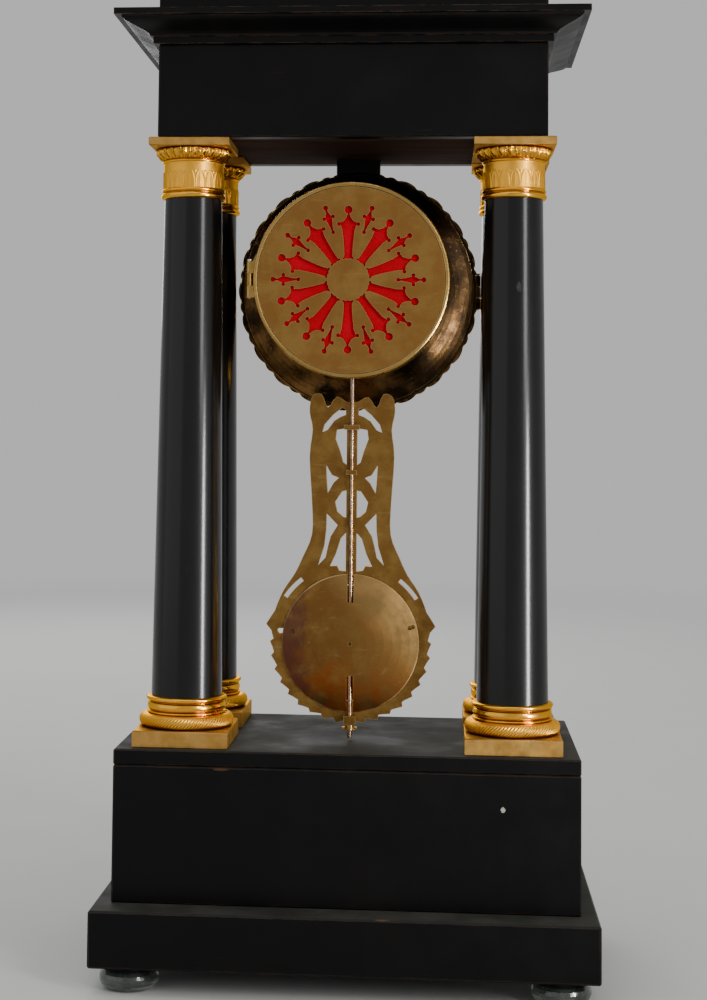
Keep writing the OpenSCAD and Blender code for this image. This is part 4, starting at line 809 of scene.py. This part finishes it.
def dial_marks(material):
    """Numerals and a minute track, printed just proud of the enamel."""
    points, faces = [], []
    for hour, text in enumerate(NUMERALS):
        turn = Matrix.Rotation(-math.radians(30 * hour), 2)
        up = Vector((0, NUMERAL_R))
        x = -sum(LETTER_WIDTHS[letter] for letter in text) / 2
        for letter in text:
            for a, b, width in letter_strokes(letter, x):
                stroke(points, faces, turn @ (Vector(a) + up), turn @ (Vector(b) + up), width)
            x += LETTER_WIDTHS[letter]
    for minute in range(60):
        turn = Matrix.Rotation(-math.radians(6 * minute), 2)
        width = HOUR_MARK_W if minute % 5 == 0 else MINUTE_MARK_W
        stroke(points, faces, turn @ Vector((0, TRACK[0])), turn @ Vector((0, TRACK[1])), width)
    for radius in TRACK:
        for i in range(TRACK_PARTS):
            a, b = (math.radians(360 * k / TRACK_PARTS) for k in (i, i + 1))
            stroke(points, faces, (radius * math.sin(a), radius * math.cos(a)),
                   (radius * math.sin(b), radius * math.cos(b)), TRACK_LINE_W)
    flat = [(p.x * MM, 0, p.y * MM) for p in points]
    place = centre_of("dial")
    place.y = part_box("dial")[0].y - PROUD * MM
    new_piece("dial_marks", flat, faces, "case", [material], place, smooth=False)


# Surroundings, floor, lights and camera

ROOM_LIGHT = 0.45      # the world's strength on the object
BACKDROP = 0.55        # and where the camera, gloss or glass sees it


def surroundings():
    """A plain grey room."""
    world = bpy.data.worlds.new("studio")
    bpy.context.scene.world = world
    world.use_nodes = True
    nodes, links = world.node_tree.nodes, world.node_tree.links
    path = nodes.new("ShaderNodeLightPath").outputs
    seen = path["Is Camera Ray"]
    for ray in ("Is Glossy Ray", "Is Transmission Ray"):
        either = nodes.new("ShaderNodeMath")
        either.operation = "MAXIMUM"
        links.new(seen, either.inputs[0])
        links.new(path[ray], either.inputs[1])
        seen = either.outputs[0]
    strength = nodes.new("ShaderNodeMapRange")
    strength.inputs["To Min"].default_value = ROOM_LIGHT
    strength.inputs["To Max"].default_value = BACKDROP
    links.new(seen, strength.inputs["Value"])
    ground = nodes["Background"]
    ground.inputs["Color"].default_value = (1.0, 1.0, 1.0, 1)
    links.new(strength.outputs[0], ground.inputs["Strength"])


def pale_floor():
    """A round pale floor that fades into the backdrop."""
    radius, sides = 4.0, 60
    fade_start, fade_end = 0.7, 2.6
    turns = [2 * math.pi * i / sides for i in range(sides)]
    points = [(0, 0, 0)] + [(radius * math.cos(a), radius * math.sin(a), 0) for a in turns]
    faces = [(0, 1 + i, 1 + (i + 1) % sides) for i in range(sides)]
    s = Shader("floor", Roughness=0.9, Specular_IOR_Level=0.0)
    s.set(Base_Color=s.mix(s.noise(60, 3), FLOOR_GREY, FLOOR_GREY_PALE))
    away = s.node("VectorMath", s.place["Object"], operation="LENGTH").outputs["Value"]
    fade = s.level(away, fade_start, fade_end)
    clear = s.node("BsdfTransparent").outputs[0]
    blend = s.node("MixShader", fade, s.surface.outputs[0], clear)
    s.tree.links.new(blend.outputs[0], s.tree.nodes["Material Output"].inputs["Surface"])
    new_object("floor", points, faces, [s.material])


def softbox(name, place, aim, width, height, power):
    """A rectangular lamp at place, turned towards aim; metres and watts."""
    lamp = bpy.data.lights.new(name, "AREA")
    lamp.shape = "RECTANGLE"
    lamp.size, lamp.size_y = width, height
    lamp.energy = power
    light = bpy.data.objects.new(name, lamp)
    bpy.context.scene.collection.objects.link(light)
    light.visible_camera = False
    light.location = place
    light.rotation_euler = (aim - Vector(place)).to_track_quat("-Z", "Y").to_euler()
    return light


def lamps():
    """Soft lights all round, and a strip that only draws a gleam down the shafts."""
    aim = (cad_box[0] + cad_box[1]) / 2
    low_aim = Vector((aim.x, aim.y, 0.14))
    softbox("key", (-1.02, 1.05, 0.80), aim, 0.30, 0.9, 10)
    strip = softbox("strip", (-0.52, 0.40, 0.15), low_aim, 0.045, 0.28, 4.5)
    strip.visible_diffuse = False
    softbox("fill", (1.5, 1.1, 0.9), aim, 2.4, 2.4, 7)
    softbox("overhead", (0.1, 0.2, 1.7), aim, 1.2, 1.2, 7)
    softbox("front", (0.5, -1.7, 1.0), aim, 1.2, 1.2, 14)


def photo_camera():
    """The photograph's camera, found from the case's corners."""
    place = Vector((-47.7, 979.3, 278.2)) * MM
    yaw, pitch, roll = (math.radians(a) for a in (4.63, 3.27, 0.60))
    focal_px = 1826.97
    principal_px = (296.10, 324.36)
    photo_px = (707, 1000)
    sensor_mm = 36
    flat = math.cos(pitch)
    ahead = Vector((math.sin(yaw) * flat, -math.cos(yaw) * flat, math.sin(pitch)))
    level = ahead.cross(Vector((0, 0, 1))).normalized()
    upright = level.cross(ahead)
    right = level * math.cos(roll) + upright * math.sin(roll)
    up = upright * math.cos(roll) - level * math.sin(roll)
    data = bpy.data.cameras.new("camera")
    data.sensor_width = sensor_mm
    data.lens = focal_px / photo_px[1] * sensor_mm
    data.shift_x = (photo_px[0] / 2 - principal_px[0]) / photo_px[1]
    data.shift_y = (principal_px[1] - photo_px[1] / 2) / photo_px[1]
    data.clip_start = 0.01
    camera = bpy.data.objects.new("camera", data)
    bpy.context.scene.collection.objects.link(camera)
    turn = Matrix((right, up, -ahead)).transposed()
    camera.matrix_world = Matrix.Translation(place) @ turn.to_4x4()
    bpy.context.scene.camera = camera


# The scene

photo_camera()
surroundings()
pale_floor()
lamps()

dress(ebonised("ebonised_wood", dusty=True),
      "bottom_plinth", "base_long_boards", "base_side_boards", "base_deck", "frieze_long_boards",
      "frieze_side_boards", "cornice_moulding", "attic_block", "head_bracket")
dress(ebonised("ebonised_shaft", dusty=False), *("column_shaft_" + corner for corner in CORNERS))
dress(brown_wood(), "soffit_board")
dress(foot_glass(), "bun_feet")

dress(iron("steel", STEEL, STEEL_STAIN, (0.3, 0.5)),
      "tie_rods", "tie_rod_nuts", "hinge_pins", "going_arbor", "strike_arbor", "pallet_anchor",
      "bell_hammer", "suspension_spring")
dress(iron("blued_steel", BLUED, BLUED_DARK, (0.16, 0.3)), "hour_hand", "minute_hand")
dress(iron("polished_rod", ROD, ROD_STAIN, (0.2, 0.36)), "pendulum_rod")

dress(plain_brass("movement_brass", MOVEMENT_BRASS, MOVEMENT_BRASS_DARK, 0.3, 9, (0.22, 0.36)),
      "front_plate", "back_plate", "plate_pillars", "going_barrel", "strike_barrel",
      "centre_arbor", "intermediate_wheel", "third_wheel", "escape_wheel", "minute_wheel",
      "hour_wheel", "bell_stand", "suspension_cock")
dress(plain_brass("door_brass", DOOR_BRASS, DOOR_BRASS_DARK, 0.35, 16, (0.24, 0.40), 2),
      "rear_door_fret")
dress(plain_brass("rim_brass", RIM_BRASS, BRASS_OLIVE, 0.4, 8, (0.2, 0.36), 3),
      "rear_door_ring", "rating_nut")
dress(plain_brass("frame_brass", FRAME_BRASS, FRAME_BRASS_DARK, 0.55, 12, (0.3, 0.5), 6),
      "pendulum_frame")
dress(plain_brass("drum_brass", BRASS_OLIVE, BRASS_BROWN, 0.6, 14, (0.28, 0.5), 8),
      "drum_case", "rear_ring")
dress(plain_brass("bell_metal", BELL_METAL, BELL_METAL_DARK, 0.3, 14, (0.24, 0.38), 9), "bell")
dress(bob_brass(centre_of("pendulum_bob")), "pendulum_bob")
dress(dish_brass(centre_of("dial_back_plate")), "dial_back_plate")

bezel_metal = bezel_gilt()
dress(bezel_metal, "leaf_bezel")
dress(clear_glass(), "bezel_glass")
dress(enamel(), "dial")

capital_gilt = gilding("capital_gilt", GILT, GILT_PALE, (0.34, 0.48), 0.02)
matt_gilt = gilding("matt_gilt", GILT, GILT_PALE, (0.36, 0.50), 0.03, milled=True)
bright_gilt = gilding("bright_gilt", GILT, GILT_PALE, (0.14, 0.26), 0.012)
block_gilt = gilding("block_gilt", GILT_TAN, GILT_TAN_PALE, (0.38, 0.55), 0.05)
for corner in CORNERS:
    capital(corner, [capital_gilt, bright_gilt, block_gilt])
    column_base(corner, [matt_gilt, bright_gilt, block_gilt])
bezel_ornament(bezel_metal)
silk_disc(red_silk())
dial_marks(ink())
